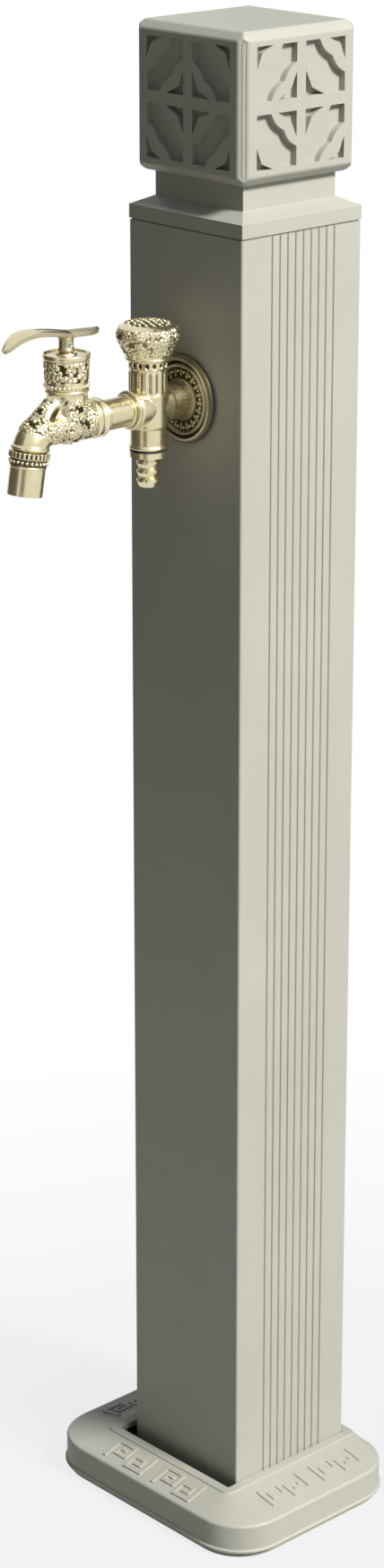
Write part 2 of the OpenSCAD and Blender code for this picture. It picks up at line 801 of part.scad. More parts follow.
module inlet_tail()
    color(plain_brass) on_riser() difference() {
        union() {
            rod(inlet_thread_r - thread_gap, flange_z0, lip_z0);
            rod(tail_neck_r, flange_z0, tail_face_z + cut);
            rod(elbow_r, tail_face_z, riser_z0 + socket_depth);
        }
        rod(gallery_r, flange_z0 - cut, riser_z0 + cut);
        rod(riser_r + thread_gap, riser_z0, riser_z0 + socket_depth + cut);
    }

module riser_pipe() color(steel) on_riser() pipe(riser_r, riser_r - riser_wall, riser_z0, riser_z1);

module wall_elbow()
    color(plain_brass) difference() {
        union() {
            along_tap() rod(elbow_r - elbow_step, riser_y - post_w / 2, elbow_face_out);
            on_riser() domed_rod(elbow_r, tap_z - elbow_drop, tap_z);
        }
        along_tap() {
            rod(shank_r + thread_gap, -shank_in, elbow_face_out + cut);
            rod(riser_r - riser_wall, riser_y - post_w / 2, -shank_in + cut);
        }
        on_riser() {
            rod(riser_r - riser_wall, riser_z1 - cut, tap_z);
            rod(riser_r + thread_gap, tap_z - elbow_drop - cut, riser_z1);
        }
    }

module lock_nut()
    color(plain_brass) along_tap(-post_wall - lock_washer_t) difference() {
        hexagon(nut_flats, -lock_nut_t, 0);
        rod(shank_r + thread_gap, -lock_nut_t - cut, cut);
    }

module lock_washer()
    color(rubber) along_tap(-post_wall) pipe(nut_flats / 2, shank_r + thread_gap, -lock_washer_t, 0);

// Tap

gasket_in = 1;
flange_boss_r = inlet_neck_r + 1.5;
flange_inner_ring_r = flange_r - 4.5 * flange_ring_r;
flange_bead_row_r = (flange_r - 6 * flange_ring_r + inlet_neck_r + 1) / 2;

module flange_gasket()
    color(rubber) along_tap() pipe(flange_r - gasket_in, shank_r + thread_gap, 0, gasket_t);

module flange()
    color(brass) along_tap(gasket_t) difference() {
        union() {
            rod(flange_r, 0, flange_t - flange_ring_r);
            translate([0, 0, flange_t - flange_ring_r]) {
                ring(flange_r - flange_ring_r, flange_ring_r);
                ring(flange_inner_ring_r, flange_ring_r);
                bead_ring(flange_beads, flange_bead_row_r, flange_ring_r);
            }
            rod(flange_boss_r, 0, flange_t);
        }
        rod(shank_r + thread_gap, -cut, flange_t + cut);
    }

module angle_body()
    color(brass) difference() {
        union() {
            on_wheel_axis() {
                rod(barrel_r, wheel_seat_down - wheel_body_down, wheel_body_top);
                translate([0, 0, wheel_body_top - moulding_in]) ring(barrel_r, moulding_r);
                translate([0, 0, wheel_seat_down - wheel_body_down + moulding_in]) ring(barrel_r, moulding_r);
            }
            along_tap() {
                rod(shank_r, -shank_in, flange_out + cut);
                rod(inlet_neck_r, flange_out, wheel_out);
                rod(arm_socket_r, wheel_out, socket_out);
                translate([0, 0, socket_out - moulding_in]) ring(arm_socket_r, moulding_r);
            }
        }
        along_tap() {
            rod(gallery_r, -shank_in - cut, socket_out + cut);
            rod(arm_thread_r + thread_gap, socket_out - arm_thread_len - arm_seal_t, socket_out + cut);
        }
        on_wheel_axis() {
            rod(chamber_r, 0, wheel_body_top + cut);
            rod(seal_r1 + thread_gap, wheel_body_top - bonnet_seal_t, wheel_body_top + cut);
            rod(port_r, wheel_seat_down - wheel_body_down, cut);
            rod(
                arm_thread_r + thread_gap,
                wheel_seat_down - wheel_body_down - cut,
                wheel_seat_down - wheel_body_down + tail_thread_len - tail_washer_t + cut
            );
        }
    }

module on_tail() on_wheel_axis(wheel_seat_down - wheel_body_down) children();

barb_z1 = -tail_washer_t - tail_collar_t - tail_neck;
tail_end_z = barb_z1 - barb_count * barb_pitch;
barb_step = 0.6;
tail_washer_in = 0.5;

// Profile of the barbs, from the tip up
function barb_profile() = [
    for (i = [0:barb_count - 1], p = [
        [barb_root_r, 0], [barb_r, barb_pitch - barb_land - barb_step],
        [barb_r, barb_pitch - barb_step], [barb_root_r, barb_pitch - barb_step]
    ]) [p[0], tail_end_z + i * barb_pitch + p[1]]
];

module hose_tail()
    color(brass) on_tail() difference() {
        union() {
            rod(arm_thread_r, -tail_washer_t - cut, tail_thread_len - tail_washer_t);
            rod(tail_collar_r, -tail_washer_t - tail_collar_t, -tail_washer_t);
            turned(concat(
                [[0, tail_end_z]], barb_profile(),
                [[barb_root_r, -tail_washer_t - cut], [0, -tail_washer_t - cut]]
            ));
        }
        rod(tail_bore_r, tail_end_z - cut, tail_thread_len + cut);
    }

module hose_tail_washer()
    color(rubber) on_tail()
        pipe(tail_collar_r - tail_washer_in, arm_thread_r + thread_gap, -tail_washer_t, 0);

// Parts of a valve, drawn up from the seat

// Cartridge sleeve with its windows, thread and spindle bore, joined to an outside shape
module bonnet_with_sleeve(body_top, bonnet_top, ceiling, window, window_r)
    difference() {
        union() {
            rod(sleeve_r, seat_seal_t, body_top);
            rod(cartridge_r, ceiling, body_top + cut);
            children();
        }
        rod(sleeve_in_r, seat_seal_t - cut, ceiling - ceiling_gap / 2);
        rod(spindle_bore_r, 0, bonnet_top + cut);
        translate([0, 0, window]) rotate([90, 0, 0]) rod(window_r, -chamber_r, chamber_r);
    }

module seat_seal() color(rubber) pipe(sleeve_r, port_r, 0, seat_seal_t);

module bonnet_seal(body_top) color(rubber) pipe(seal_r1, seal_r0, body_top - bonnet_seal_t, body_top);

// Disc with two openings opposite each other
module valve_disc(r, z0) {
    hole_out = r * 0.56;
    hole_r = r * 0.3;
    color(ceramic) difference() {
        rod(r, z0, z0 + disc_t);
        for (side = [-1, 1])
            translate([side * hole_out, 0, 0]) rod(hole_r, z0 - cut, z0 + disc_t + cut);
    }
}

// Spindle from its foot to a shoulder, with a thinner end and a groove for its ring
module spindle(shoulder_z, end_r, end_z, groove_z)
    rotate_extrude() polygon([
        [0, foot_z], [foot_r, foot_z], [foot_r, foot_top], [spindle_r, foot_top],
        [spindle_r, groove_z - groove_half], [spindle_r - 2 * oring_r, groove_z - groove_half],
        [spindle_r - 2 * oring_r, groove_z + groove_half], [spindle_r, groove_z + groove_half],
        [spindle_r, shoulder_z], [end_r, shoulder_z], [end_r, end_z], [0, end_z]
    ]);

module spindle_oring(groove_z) color(rubber) translate([0, 0, groove_z]) ring(spindle_r - oring_r, oring_r);

wheel_groove = wheel_body_top + wheel_bonnet_h / 2;
lever_groove = lever_body_top + lever_bonnet_h / 2;
wheel_shoulder = wheel_bonnet_top + handle_gap + hub_up;
lever_shoulder = lever_bonnet_top + handle_gap;
wheel_pin_top = wheel_shoulder + hub_h;
lever_pin_top = lever_shoulder + stem_h;

// Wheel valve

module wheel_bonnet()
    color(brass) on_wheel_axis()
        bonnet_with_sleeve(wheel_body_top, wheel_bonnet_top, wheel_ceiling, wheel_window, wheel_window_r)
            translate([0, 0, wheel_body_top]) {
                foot_h = wheel_bonnet_h * 0.12;
                low_ring_z = wheel_bonnet_h * 0.45;
                high_ring_z = wheel_bonnet_h * 0.8;
                shaft_r = barrel_r - 0.9;
                ring_r = barrel_r - 1.2;
                low_section_r = 1;
                high_section_r = 1.2;
                rod(barrel_r, 0, foot_h);
                rod(shaft_r, 0, wheel_bonnet_h);
                translate([0, 0, low_ring_z]) ring(ring_r, low_section_r);
                translate([0, 0, high_ring_z]) ring(ring_r, high_section_r);
            }

module wheel_bonnet_seal() on_wheel_axis() bonnet_seal(wheel_body_top);

module wheel_seat_seal() on_wheel_axis() seat_seal();

module wheel_fixed_disc() on_wheel_axis() valve_disc(fixed_disc_r, seat_seal_t);

module wheel_moving_disc() on_wheel_axis() rotate([0, 0, 90]) valve_disc(moving_disc_r, disc_z);

module wheel_spindle()
    color(plain_brass) on_wheel_axis() difference() {
        spindle(wheel_shoulder, pin_r, wheel_pin_top, wheel_groove);
        rod(wheel_screw_r + thread_gap, wheel_shoulder, wheel_pin_top + cut);
    }

module wheel_spindle_oring() on_wheel_axis() spindle_oring(wheel_groove);

petal_groove_z = 3;
screw_head_in = 1.2;
screw_short = 2;

module on_wheel() translate([0, -post_w / 2 - wheel_out, wheel_z0]) children();

module hand_wheel()
    color(brass) on_wheel() difference() {
        rim_z = wheel_h - crown_sink;
        crown_seat_r = crown_r + thread_gap;
        skirt_wall = 1.2;
        skirt_bead = 0.6;
        skirt_bead_h = 1.6;
        skirt_waist_z = 2.4;
        skirt_in_z = 2;
        hub_web = 3;
        web_t = 2;
        web_in = 8;
        brim_z = wheel_h * 0.4;
        flare_z = wheel_h * 0.68;
        rim_low_z = wheel_h * 0.82;
        rim_high_z = wheel_h * 0.94;
        flare_in = 1.6;
        brim_out = 1.2;
        rim_in = 0.5;
        lip_w = 1;
        turned([
            [0, hub_up], [hub_r, hub_up], [hub_r, hub_h - hub_web], [wheel_r - web_in, hub_h - web_t],
            [wheel_skirt_r - skirt_wall, skirt_in_z], [wheel_skirt_r - skirt_wall, 0],
            [wheel_skirt_r + skirt_bead, 0], [wheel_skirt_r + skirt_bead, skirt_bead_h],
            [wheel_skirt_r, skirt_waist_z], [wheel_skirt_r + brim_out, brim_z],
            [wheel_r - flare_in, flare_z], [wheel_r, rim_low_z], [wheel_r - rim_in, rim_high_z],
            [crown_r + lip_w, wheel_h], [crown_seat_r, wheel_h], [crown_seat_r, rim_z], [0, rim_z]
        ]);
        rod(pin_r + spindle_gap, 0, wheel_h);
        rod(screw_pocket_r, hub_up + hub_h, wheel_h);
        for (i = [0:wheel_petals - 1])
            rotate([0, 0, i * 360 / wheel_petals])
                translate([wheel_r + petal_groove_r / 2, 0, 0])
                    rod(petal_groove_r, petal_groove_z, wheel_h + cut);
    }

module hand_wheel_screw()
    color(steel) on_wheel() translate([0, 0, hub_up + hub_h])
        pan_screw(wheel_screw_r, hub_r - screw_head_in, screw_head_t, hub_h - screw_short);

module wheel_crown()
    color(brass) on_wheel() translate([0, 0, wheel_h - crown_sink]) difference() {
        dome_h = crown_h + crown_sink - crown_bead_r / 2;
        dome_up = dome_h - crown_sink;
        dome_steps = 8;
        bead_sink = crown_bead_r * 0.6;
        low_beads = 16;
        middle_beads = 10;
        top_beads = 5;
        middle_row_r = crown_r * 0.62;
        middle_row_z = crown_sink + dome_up * 0.75;
        top_row_r = crown_r * 0.27;
        top_row_z = dome_h - crown_bead_r / 2;
        union() {
            turned(concat(
                [[0, 0], [crown_r, 0]],
                [for (i = [0:dome_steps])
                    let (a = i * 90 / dome_steps) [crown_r * cos(a), crown_sink + dome_up * sin(a)]]
            ));
            translate([0, 0, crown_sink + bead_sink]) bead_ring(low_beads, crown_r - bead_sink, crown_bead_r);
            translate([0, 0, middle_row_z]) bead_ring(middle_beads, middle_row_r, crown_bead_r);
            translate([0, 0, top_row_z]) bead_ring(top_beads, top_row_r, crown_bead_r);
        }
        rod(screw_pocket_r, -cut, screw_head_t);
    }

// Arm

module extension_arm()
    color(brass) along_tap() difference() {
        union() {
            rod(arm_thread_r, socket_out - arm_thread_len, arm_end_out + arm_thread_len);
            rod(arm_r, socket_out, arm_end_out);
            for (out = [socket_out + moulding_in, arm_end_out - moulding_in])
                translate([0, 0, out]) ring(arm_r, moulding_r);
        }
        rod(gallery_r, socket_out - arm_thread_len - cut, arm_end_out + arm_thread_len + cut);
    }

module arm_seals()
    color(rubber) along_tap() {
        inner_z = socket_out - arm_thread_len;
        outer_z = arm_end_out + arm_thread_len;
        pipe(arm_thread_r, gallery_r, inner_z - arm_seal_t, inner_z);
        pipe(arm_thread_r, gallery_r, outer_z, outer_z + arm_seal_t);
    }

// Lever valve and spout

module bend(section_r)
    translate([0, -post_w / 2 - bend_out, tap_z - bend_r]) rotate([0, -90, 180])
        rotate_extrude(angle = bend_angle) translate([bend_r, 0]) circle(section_r);

module bib_body()
    color(brass) difference() {
        union() {
            along_tap() {
                rod(arm_socket_r, arm_end_out, lever_out);
                for (step = [moulding_in, arm_thread_len + moulding_in])
                    translate([0, 0, arm_end_out + step]) ring(arm_socket_r, moulding_r);
                rod(spout_r, lever_out, bend_out);
            }
            on_lever_axis() {
                domed_rod(barrel_r, lever_body_top, 0);
                translate([0, 0, lever_body_top - moulding_in]) ring(barrel_r, moulding_r);
            }
            bend(spout_r);
            at_spout_end() {
                translate([0, 0, spout_lip_up]) ring(spout_r, spout_lip_r);
                rod(spout_thread_r, -spout_thread_len, cut);
            }
        }
        along_tap() rod(
            arm_thread_r + thread_gap, arm_end_out - cut, arm_end_out + arm_thread_len + arm_seal_t
        );
        along_tap() translate([0, outlet_drop, 0]) rod(port_r, arm_end_out + arm_thread_len, lever_out);
        along_tap() translate([0, -outlet_drop, 0]) rod(outlet_r, lever_out, bend_out + cut);
        on_lever_axis() {
            rod(port_r, -outlet_drop - outlet_r / 2, cut);
            rod(chamber_r, 0, lever_body_top + cut);
            rod(seal_r1 + thread_gap, lever_body_top - bonnet_seal_t, lever_body_top + cut);
        }
        bend(spout_bore_r);
        at_spout_end() rod(spout_bore_r, -spout_thread_len - cut, 0);
    }

module lever_bonnet()
    color(brass) on_lever_axis()
        bonnet_with_sleeve(lever_body_top, lever_bonnet_top, lever_ceiling, lever_window, lever_window_r)
            translate([0, 0, lever_body_top]) {
                waist_r = lever_bonnet_r - 1.4;
                rim_z = lever_bonnet_h - 3;
                rim_step = 0.8;
                rim_chamfer = 0.6;
                rim_top_drop = 0.4;
                top_rim_w = 2;
                dish_z = lever_bonnet_h - 1.4;
                collar_z = lever_bonnet_h - 1.2;
                collar_w = 1.5;
                collar_top_w = 0.8;
                foot_w = 0.3;
                belly_w = 0.8;
                bead_row_w = 0.5;
                bead_row_z = bonnet_bead_r * 1.6;
                turned([
                    [0, 0], [barrel_r + foot_w, 0], [barrel_r + belly_w, bonnet_bead_r],
                    [waist_r, 3 * bonnet_bead_r], [lever_bonnet_r - rim_step, rim_z - rim_chamfer],
                    [lever_bonnet_r, rim_z], [lever_bonnet_r, lever_bonnet_h - rim_chamfer],
                    [lever_bonnet_r - rim_step, lever_bonnet_h - rim_top_drop],
                    [lever_bonnet_r - top_rim_w, dish_z], [stem_r + collar_w, collar_z],
                    [stem_r + collar_top_w, lever_bonnet_h], [0, lever_bonnet_h]
                ]);
                translate([0, 0, bead_row_z]) bead_ring(bonnet_beads, barrel_r + bead_row_w, bonnet_bead_r);
            }

module lever_bonnet_seal() on_lever_axis() bonnet_seal(lever_body_top);

module lever_seat_seal() on_lever_axis() seat_seal();

module lever_fixed_disc() on_lever_axis() valve_disc(fixed_disc_r, seat_seal_t);

module lever_moving_disc() on_lever_axis() rotate([0, 0, 90]) valve_disc(moving_disc_r, disc_z);

module lever_spindle()
    color(plain_brass) on_lever_axis() spindle(lever_shoulder, pin_r, lever_pin_top, lever_groove);

module lever_spindle_oring() on_lever_axis() spindle_oring(lever_groove);

// Height of the lever's middle line at a distance outward from its axis
lever_curl_power = 5;
lever_waist = 0.8;
lever_belly = 0.25;
lever_flare = 0.15;
lever_tip_power = 6;
lever_steps = 28;
function lever_line(s) =
    s > 0 ? lever_lift * s / lever_long - lever_droop * pow(s / lever_long, lever_curl_power)
          : lever_sink * s / lever_short;

// Half width of the lever at a distance outward from its axis
function lever_half(s) =
    s > 0 ? lever_w / 2 * (lever_waist + lever_belly * sin(180 * s / lever_long)) * lever_tip(s / lever_long)
          : lever_w / 2 * (lever_waist - lever_flare * s / lever_short) * lever_tip(s / lever_short);

// Rounding of the width toward a tip
function lever_tip(share) = sqrt(1 - pow(share, lever_tip_power));

function lever_station(i) = -lever_short + (lever_long + lever_short) * i / lever_steps;

module lever_blade() {
    stations = [for (i = [0:lever_steps]) lever_station(i)];
    upper = [for (s = stations) [-s, lever_line(s) + lever_t / 2]];
    lower = [for (i = [len(stations) - 1:-1:0]) [-stations[i], lever_line(stations[i]) - lever_t / 2]];
    right = [for (s = stations) [lever_half(s), -s]];
    left = [for (i = [len(stations) - 1:-1:0]) [-lever_half(stations[i]), -stations[i]]];
    tall = lever_droop + lever_lift + 2 * lever_t;
    intersection() {
        rotate([90, 0, 90])
            linear_extrude(height = 2 * lever_w, center = true) polygon(concat(upper, lower));
        linear_extrude(height = 2 * tall, center = true) polygon(concat(right, left));
    }
}

module lever()
    color(brass) on_lever_axis() difference() {
        union() {
            rod(stem_r, lever_shoulder, lever_pin_top + lever_t / 2);
            translate([0, 0, lever_pin_top + lever_t / 2]) lever_blade();
        }
        rod(pin_r + spindle_gap, lever_shoulder - cut, lever_pin_top);
        translate([0, 0, lever_shoulder + stem_h / 2])
            rotate([0, 90, 0]) rod(set_screw_r + thread_gap, 0, stem_r + cut);
    }

module lever_set_screw()
    color(steel) on_lever_axis(lever_shoulder + stem_h / 2) rotate([0, 90, 0]) difference() {
        face_in = 0.2;
        socket_deep = 1.2;
        rod(set_screw_r, pin_r + spindle_gap, stem_r - face_in);
        hexagon(set_screw_r, stem_r - socket_deep, stem_r);
    }

// Nozzle, drawn down from the spout's end

module nozzle_washer()
    color(rubber) at_spout_end()
        pipe(spout_thread_r, spout_bore_r, -spout_thread_len - nozzle_washer_t, -spout_thread_len);

module nozzle_sleeve()
    color(brass) at_spout_end() difference() {
        washer_z = -spout_thread_len - nozzle_washer_t;
        bead_r = 0.9;
        bead_in = 0.6;
        bead_down = 1;
        union() {
            rod(neck_out_r, -ring_h - cut, -nozzle_gap);
            rod(nozzle_r, -nozzle_end, -ring_h);
            translate([0, 0, -ring_h - bead_down]) ring(nozzle_r - bead_in, bead_r);
        }
        rod(nozzle_in_r, washer_z, cut);
        rod(spout_bore_r, -nozzle_end, washer_z + cut);
        rod(aerator_r, -nozzle_end - cut, washer_z - shoulder_t);
    }

module nozzle_ring()
    color(brass) at_spout_end() difference() {
        ring_out = 0.5;
        knurl_r = 0.7;
        knurl_out = 0.7;
        knurl_end = 0.8;
        rod(nozzle_r + ring_out, -ring_h, -nozzle_gap);
        rod(neck_out_r + thread_gap, -ring_h - cut, cut);
        for (i = [0:knurl_count - 1])
            rotate([0, 0, i * 360 / knurl_count])
                translate([nozzle_r + knurl_out, 0, 0])
                    rod(knurl_r, -ring_h + knurl_end, -nozzle_gap - knurl_end);
    }

module aerator_insert()
    color(plastic) at_spout_end() {
        end_in = 0.6;
        z0 = -nozzle_end + end_in;
        jet_r = 0.9;
        jets = 6;
        plate_h = 2;
        shell_t = 1.5;
        difference() {
            rod(aerator_r - thread_gap, z0, z0 + aerator_len);
            rod(aerator_r - shell_t, z0 + plate_h, z0 + aerator_len + cut);
            rod(jet_r, z0 - cut, z0 + plate_h + cut);
            for (i = [0:jets - 1], row = [1, 2])
                rotate([0, 0, (i + row / 2) * 360 / jets])
                    translate([row * 3 * jet_r, 0, 0]) rod(jet_r, z0 - cut, z0 + plate_h + cut);
        }
    }

ground_plate();
post_screws();
post();
base_cover();
cap_collar();
cap_screws();
cap_block();
cap_bolt();
inlet_union_nut();
inlet_washer();
inlet_tail();
riser_pipe();
wall_elbow();
lock_nut();
lock_washer();
flange_gasket();
flange();
angle_body();
hose_tail();
hose_tail_washer();
wheel_bonnet();
wheel_bonnet_seal();
wheel_seat_seal();
wheel_fixed_disc();
wheel_moving_disc();
wheel_spindle();
wheel_spindle_oring();
hand_wheel();
hand_wheel_screw();
wheel_crown();
extension_arm();
arm_seals();
bib_body();
lever_bonnet();
lever_bonnet_seal();
lever_seat_seal();
lever_fixed_disc();
lever_moving_disc();
lever_spindle();
lever_spindle_oring();
lever();
lever_set_screw();
nozzle_washer();
nozzle_sleeve();
nozzle_ring();
aerator_insert();
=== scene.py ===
"""Garden standpipe: softened castings and chased brass round the CAD frame, in a plain studio."""

import json
import math
import random

import bmesh
import bpy
from mathutils import Matrix, Vector, kdtree


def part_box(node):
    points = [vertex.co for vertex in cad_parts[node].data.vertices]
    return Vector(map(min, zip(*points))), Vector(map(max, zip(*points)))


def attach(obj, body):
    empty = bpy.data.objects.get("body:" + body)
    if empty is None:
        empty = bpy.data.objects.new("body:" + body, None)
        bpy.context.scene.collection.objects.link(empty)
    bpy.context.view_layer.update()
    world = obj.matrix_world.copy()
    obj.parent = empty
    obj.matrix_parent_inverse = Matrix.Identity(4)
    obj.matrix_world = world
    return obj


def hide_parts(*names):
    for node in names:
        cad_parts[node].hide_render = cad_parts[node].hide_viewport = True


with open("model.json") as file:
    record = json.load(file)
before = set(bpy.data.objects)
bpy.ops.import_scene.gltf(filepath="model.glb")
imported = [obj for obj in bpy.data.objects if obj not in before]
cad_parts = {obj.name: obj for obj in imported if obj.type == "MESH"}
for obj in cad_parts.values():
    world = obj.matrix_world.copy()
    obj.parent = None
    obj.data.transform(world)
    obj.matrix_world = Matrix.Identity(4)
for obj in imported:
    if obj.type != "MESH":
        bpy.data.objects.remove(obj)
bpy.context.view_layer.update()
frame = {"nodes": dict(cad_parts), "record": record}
nodes = frame["nodes"]

MM = 0.001
TURN = math.tau
UP = Vector((0, 0, 1))
SHARP = math.radians(32)  # edges that are shaded sharp
CREASE = math.radians(28)  # edges that soften() rounds
FLAT = math.radians(0.6)  # facets that are joined to one face
DOUBLE, CAD_DOUBLE = 0.002 * MM, 0.005 * MM  # points merged, in a new mesh and in a CAD copy
CHASE_GRID = 0.5 * MM  # mesh size under the chased work


# Materials


def linear(code):
    """An sRGB hex colour as linear RGBA."""
    shares = [int(code[i : i + 2], 16) / 255 for i in (1, 3, 5)]
    return [s / 12.92 if s <= 0.04045 else ((s + 0.055) / 1.055) ** 2.4 for s in shares] + [1.0]


def add(tree, kind, sockets=None, **settings):
    """Adds a node with its settings; a socket takes a number, a colour or another node's output."""
    node = tree.nodes.new(kind)
    for name, value in settings.items():
        setattr(node, name, value)
    for name, value in (sockets or {}).items():
        if isinstance(value, bpy.types.NodeSocket):
            tree.links.new(value, node.inputs[name])
        else:
            node.inputs[name].default_value = value
    return node


def new_material(name):
    """An empty node material and its tree."""
    material = bpy.data.materials.new(name)
    material.use_nodes = True
    material.node_tree.nodes.clear()
    return material, material.node_tree


def per_mm(size):
    """Noise scale whose features are about this many millimetres across."""
    return 1 / (size * MM)


def powder_coat(name, peel, depth):
    """Polyester powder baked on aluminium.

    Warm grey satin with orange peel, faint clouds and dull dusty spots.
    """
    material, tree = new_material(name)
    where = add(tree, "ShaderNodeTexCoord").outputs["Object"]
    clouds = add(tree, "ShaderNodeTexNoise", {"Vector": where, "Scale": per_mm(70), "Detail": 4.0})
    dust = add(tree, "ShaderNodeTexNoise", {"Vector": where, "Scale": per_mm(18), "Detail": 3.0})
    skin = add(tree, "ShaderNodeTexNoise", {"Vector": where, "Scale": per_mm(peel), "Detail": 1.0})
    tone = add(
        tree,
        "ShaderNodeMix",
        {"Factor": clouds.outputs["Fac"], "A": linear("#A5A396"), "B": linear("#B1AFA2")},
        data_type="RGBA",
    )
    gloss = add(
        tree, "ShaderNodeMapRange", {"Value": dust.outputs["Fac"], "To Min": 0.42, "To Max": 0.6}
    )
    peeled = add(tree, "ShaderNodeBump", {"Height": skin.outputs["Fac"], "Distance": depth * MM})
    shader = add(
        tree,
        "ShaderNodeBsdfPrincipled",
        {
            "Base Color": tone.outputs["Result"],
            "Roughness": gloss.outputs["Result"],
            "IOR": 1.5,
            "Normal": peeled.outputs["Normal"],
        },
    )
    add(tree, "ShaderNodeOutputMaterial", {"Surface": shader.outputs["BSDF"]})
    return material


def antique_brass(name, chased):
    """Polished brass under a pale gold wash, a little cloudy.

    Chased work reads its own relief, and keeps dark patina in its ground; on the flange and the
    lever the same dark stands for painted shade.
    """
    material, tree = new_material(name)
    where = add(tree, "ShaderNodeTexCoord").outputs["Object"]
    clouds = add(tree, "ShaderNodeTexNoise", {"Vector": where, "Scale": per_mm(9), "Detail": 4.0})
    rubbed = add(tree, "ShaderNodeTexNoise", {"Vector": where, "Scale": per_mm(4), "Detail": 3.0})
    skin = add(tree, "ShaderNodeTexNoise", {"Vector": where, "Scale": per_mm(1.6), "Detail": 2.0})
    tone = add(
        tree,
        "ShaderNodeMix",
        {"Factor": clouds.outputs["Fac"], "A": linear("#CDC195"), "B": linear("#EBE3C4")},
        data_type="RGBA",
    ).outputs["Result"]
    gloss = add(
        tree, "ShaderNodeMapRange", {"Value": rubbed.outputs["Fac"], "To Min": 0.18, "To Max": 0.36}
    ).outputs["Result"]
    if chased:
        relief = add(tree, "ShaderNodeAttribute", attribute_name="relief").outputs["Fac"]
        # Dark patina in the chased ground; on the flange and the lever this dark is painted shade
        worn_and_painted_shade = add(tree, "ShaderNodeMapRange", {"Value": relief, "From Min": 0.05, "From Max": 0.6})
        share = worn_and_painted_shade.outputs["Result"]
        tone = add(
            tree,
            "ShaderNodeMix",
            {"Factor": share, "A": linear("#40381F"), "B": tone},
            data_type="RGBA",
        ).outputs["Result"]
        dulled = add(tree, "ShaderNodeMix", {"Factor": share, "A": 0.5, "B": gloss})
        gloss = dulled.outputs["Result"]
    hammered = add(tree, "ShaderNodeBump", {"Height": skin.outputs["Fac"], "Distance": 0.03 * MM})
    shader = add(
        tree,
        "ShaderNodeBsdfPrincipled",
        {
            "Base Color": tone,
            "Roughness": gloss,
            "Metallic": 1.0,
            "Normal": hammered.outputs["Normal"],
        },
    )
    add(tree, "ShaderNodeOutputMaterial", {"Surface": shader.outputs["BSDF"]})
    return material


def inner_finish(name, low, high, metallic, rough, grain, depth):
    """A finish that hardly shows: two close colours, a grain in millimetres and its depth."""
    material, tree = new_material(name)
    where = add(tree, "ShaderNodeTexCoord").outputs["Object"]
    grains = add(
        tree, "ShaderNodeTexNoise", {"Vector": where, "Scale": per_mm(grain), "Detail": 3.0}
    )
    tone = add(
        tree,
        "ShaderNodeMix",
        {"Factor": grains.outputs["Fac"], "A": linear(low), "B": linear(high)},
        data_type="RGBA",
    )
    gloss = add(
        tree,
        "ShaderNodeMapRange",
        {"Value": grains.outputs["Fac"], "To Min": rough - 0.06, "To Max": rough + 0.06},
    )
    marks = add(tree, "ShaderNodeBump", {"Height": grains.outputs["Fac"], "Distance": depth * MM})
    shader = add(
        tree,
        "ShaderNodeBsdfPrincipled",
        {
            "Base Color": tone.outputs["Result"],
            "Roughness": gloss.outputs["Result"],
            "Metallic": metallic,
            "Normal": marks.outputs["Normal"],
        },
    )
    add(tree, "ShaderNodeOutputMaterial", {"Surface": shader.outputs["BSDF"]})
    return material


extruded_coat = powder_coat("powder_coated_extrusion", 1.6, 0.03)
cast_coat = powder_coat("powder_coated_casting", 2.4, 0.09)
plain_gold = antique_brass("polished_antique_brass", False)
chased_gold = antique_brass("chased_antique_brass", True)
finishes = {
    "coat": extruded_coat,
    "gold_brass": plain_gold,
    # Machined brass: yellow with fine tool marks
    "plain_brass": inner_finish("machined_brass", "#A98840", "#CEAE62", 1.0, 0.3, 0.8, 0.02),
    # Zinc plate: bluish grey with soft spangle
    "steel": inner_finish("zinc_plated_steel", "#A2A6A9", "#C8CCCF", 1.0, 0.35, 3.0, 0.02),
    # Nitrile rubber: matt black
    "rubber": inner_finish("nitrile_rubber", "#1A1A1A", "#282828", 0.0, 0.75, 1.0, 0.03),
    # Alumina: lapped, ivory
    "ceramic": inner_finish("lapped_alumina", "#DAD5C8", "#EBE7DD", 0.0, 0.2, 1.2, 0.005),
    # Acetal: moulded, off-white
    "plastic": inner_finish("moulded_acetal", "#D7D9D3", "#E9EBE5", 0.0, 0.45, 1.0, 0.01),
}
for part in frame["record"]["subparts"]:
    slots = nodes[part["node"]].data.materials
    slots.clear()
    slots.append(finishes[part["material_slot"]])
for node in ("cap_block", "cap_collar", "base_cover"):
    nodes[node].data.materials[0] = cast_coat


# Shapes


def piece(name, bm, material, slot, body, *stands_for, flat_sided=False):
    """Turns a bmesh into a smooth piece that rides on a body and stands for its CAD nodes."""
    mesh = bpy.data.meshes.new(name)
    bm.to_mesh(mesh)
    bm.free()
    mesh.materials.append(material)
    mesh.shade_smooth()
    mesh.set_sharp_from_angle(angle=SHARP)
    made = bpy.data.objects.new(name, mesh)
    bpy.context.scene.collection.objects.link(made)
    if flat_sided:
        made.modifiers.new("flat_sides", "WEIGHTED_NORMAL").keep_sharp = True
    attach(made, body)
    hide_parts(*stands_for)


def close_up(bm):
    """Merges doubles and turns every face outwards."""
    bmesh.ops.remove_doubles(bm, verts=bm.verts, dist=DOUBLE)
    bmesh.ops.recalc_face_normals(bm, faces=bm.faces)


def spun(profile, steps, closed=True):
    """A profile of (radius, height) points in millimetres, turned about Z.

    One that isn't closed starts and ends on the axis.
    """
    bm = bmesh.new()
    verts = [bm.verts.new((r * MM, 0, z * MM)) for r, z in profile]
    line = verts + verts[:1] if closed else verts
    edges = [bm.edges.new(pair) for pair in zip(line, line[1:])]
    bmesh.ops.spin(
        bm, geom=verts + edges, cent=(0, 0, 0), axis=UP, angle=TURN, steps=steps, use_merge=True
    )
    close_up(bm)
    return bm


def steps_between(start, stop, count):
    """Profile points from one to another, the first left out."""
    return [
        (start[0] + (stop[0] - start[0]) * i / count, start[1] + (stop[1] - start[1]) * i / count)
        for i in range(1, count + 1)
    ]


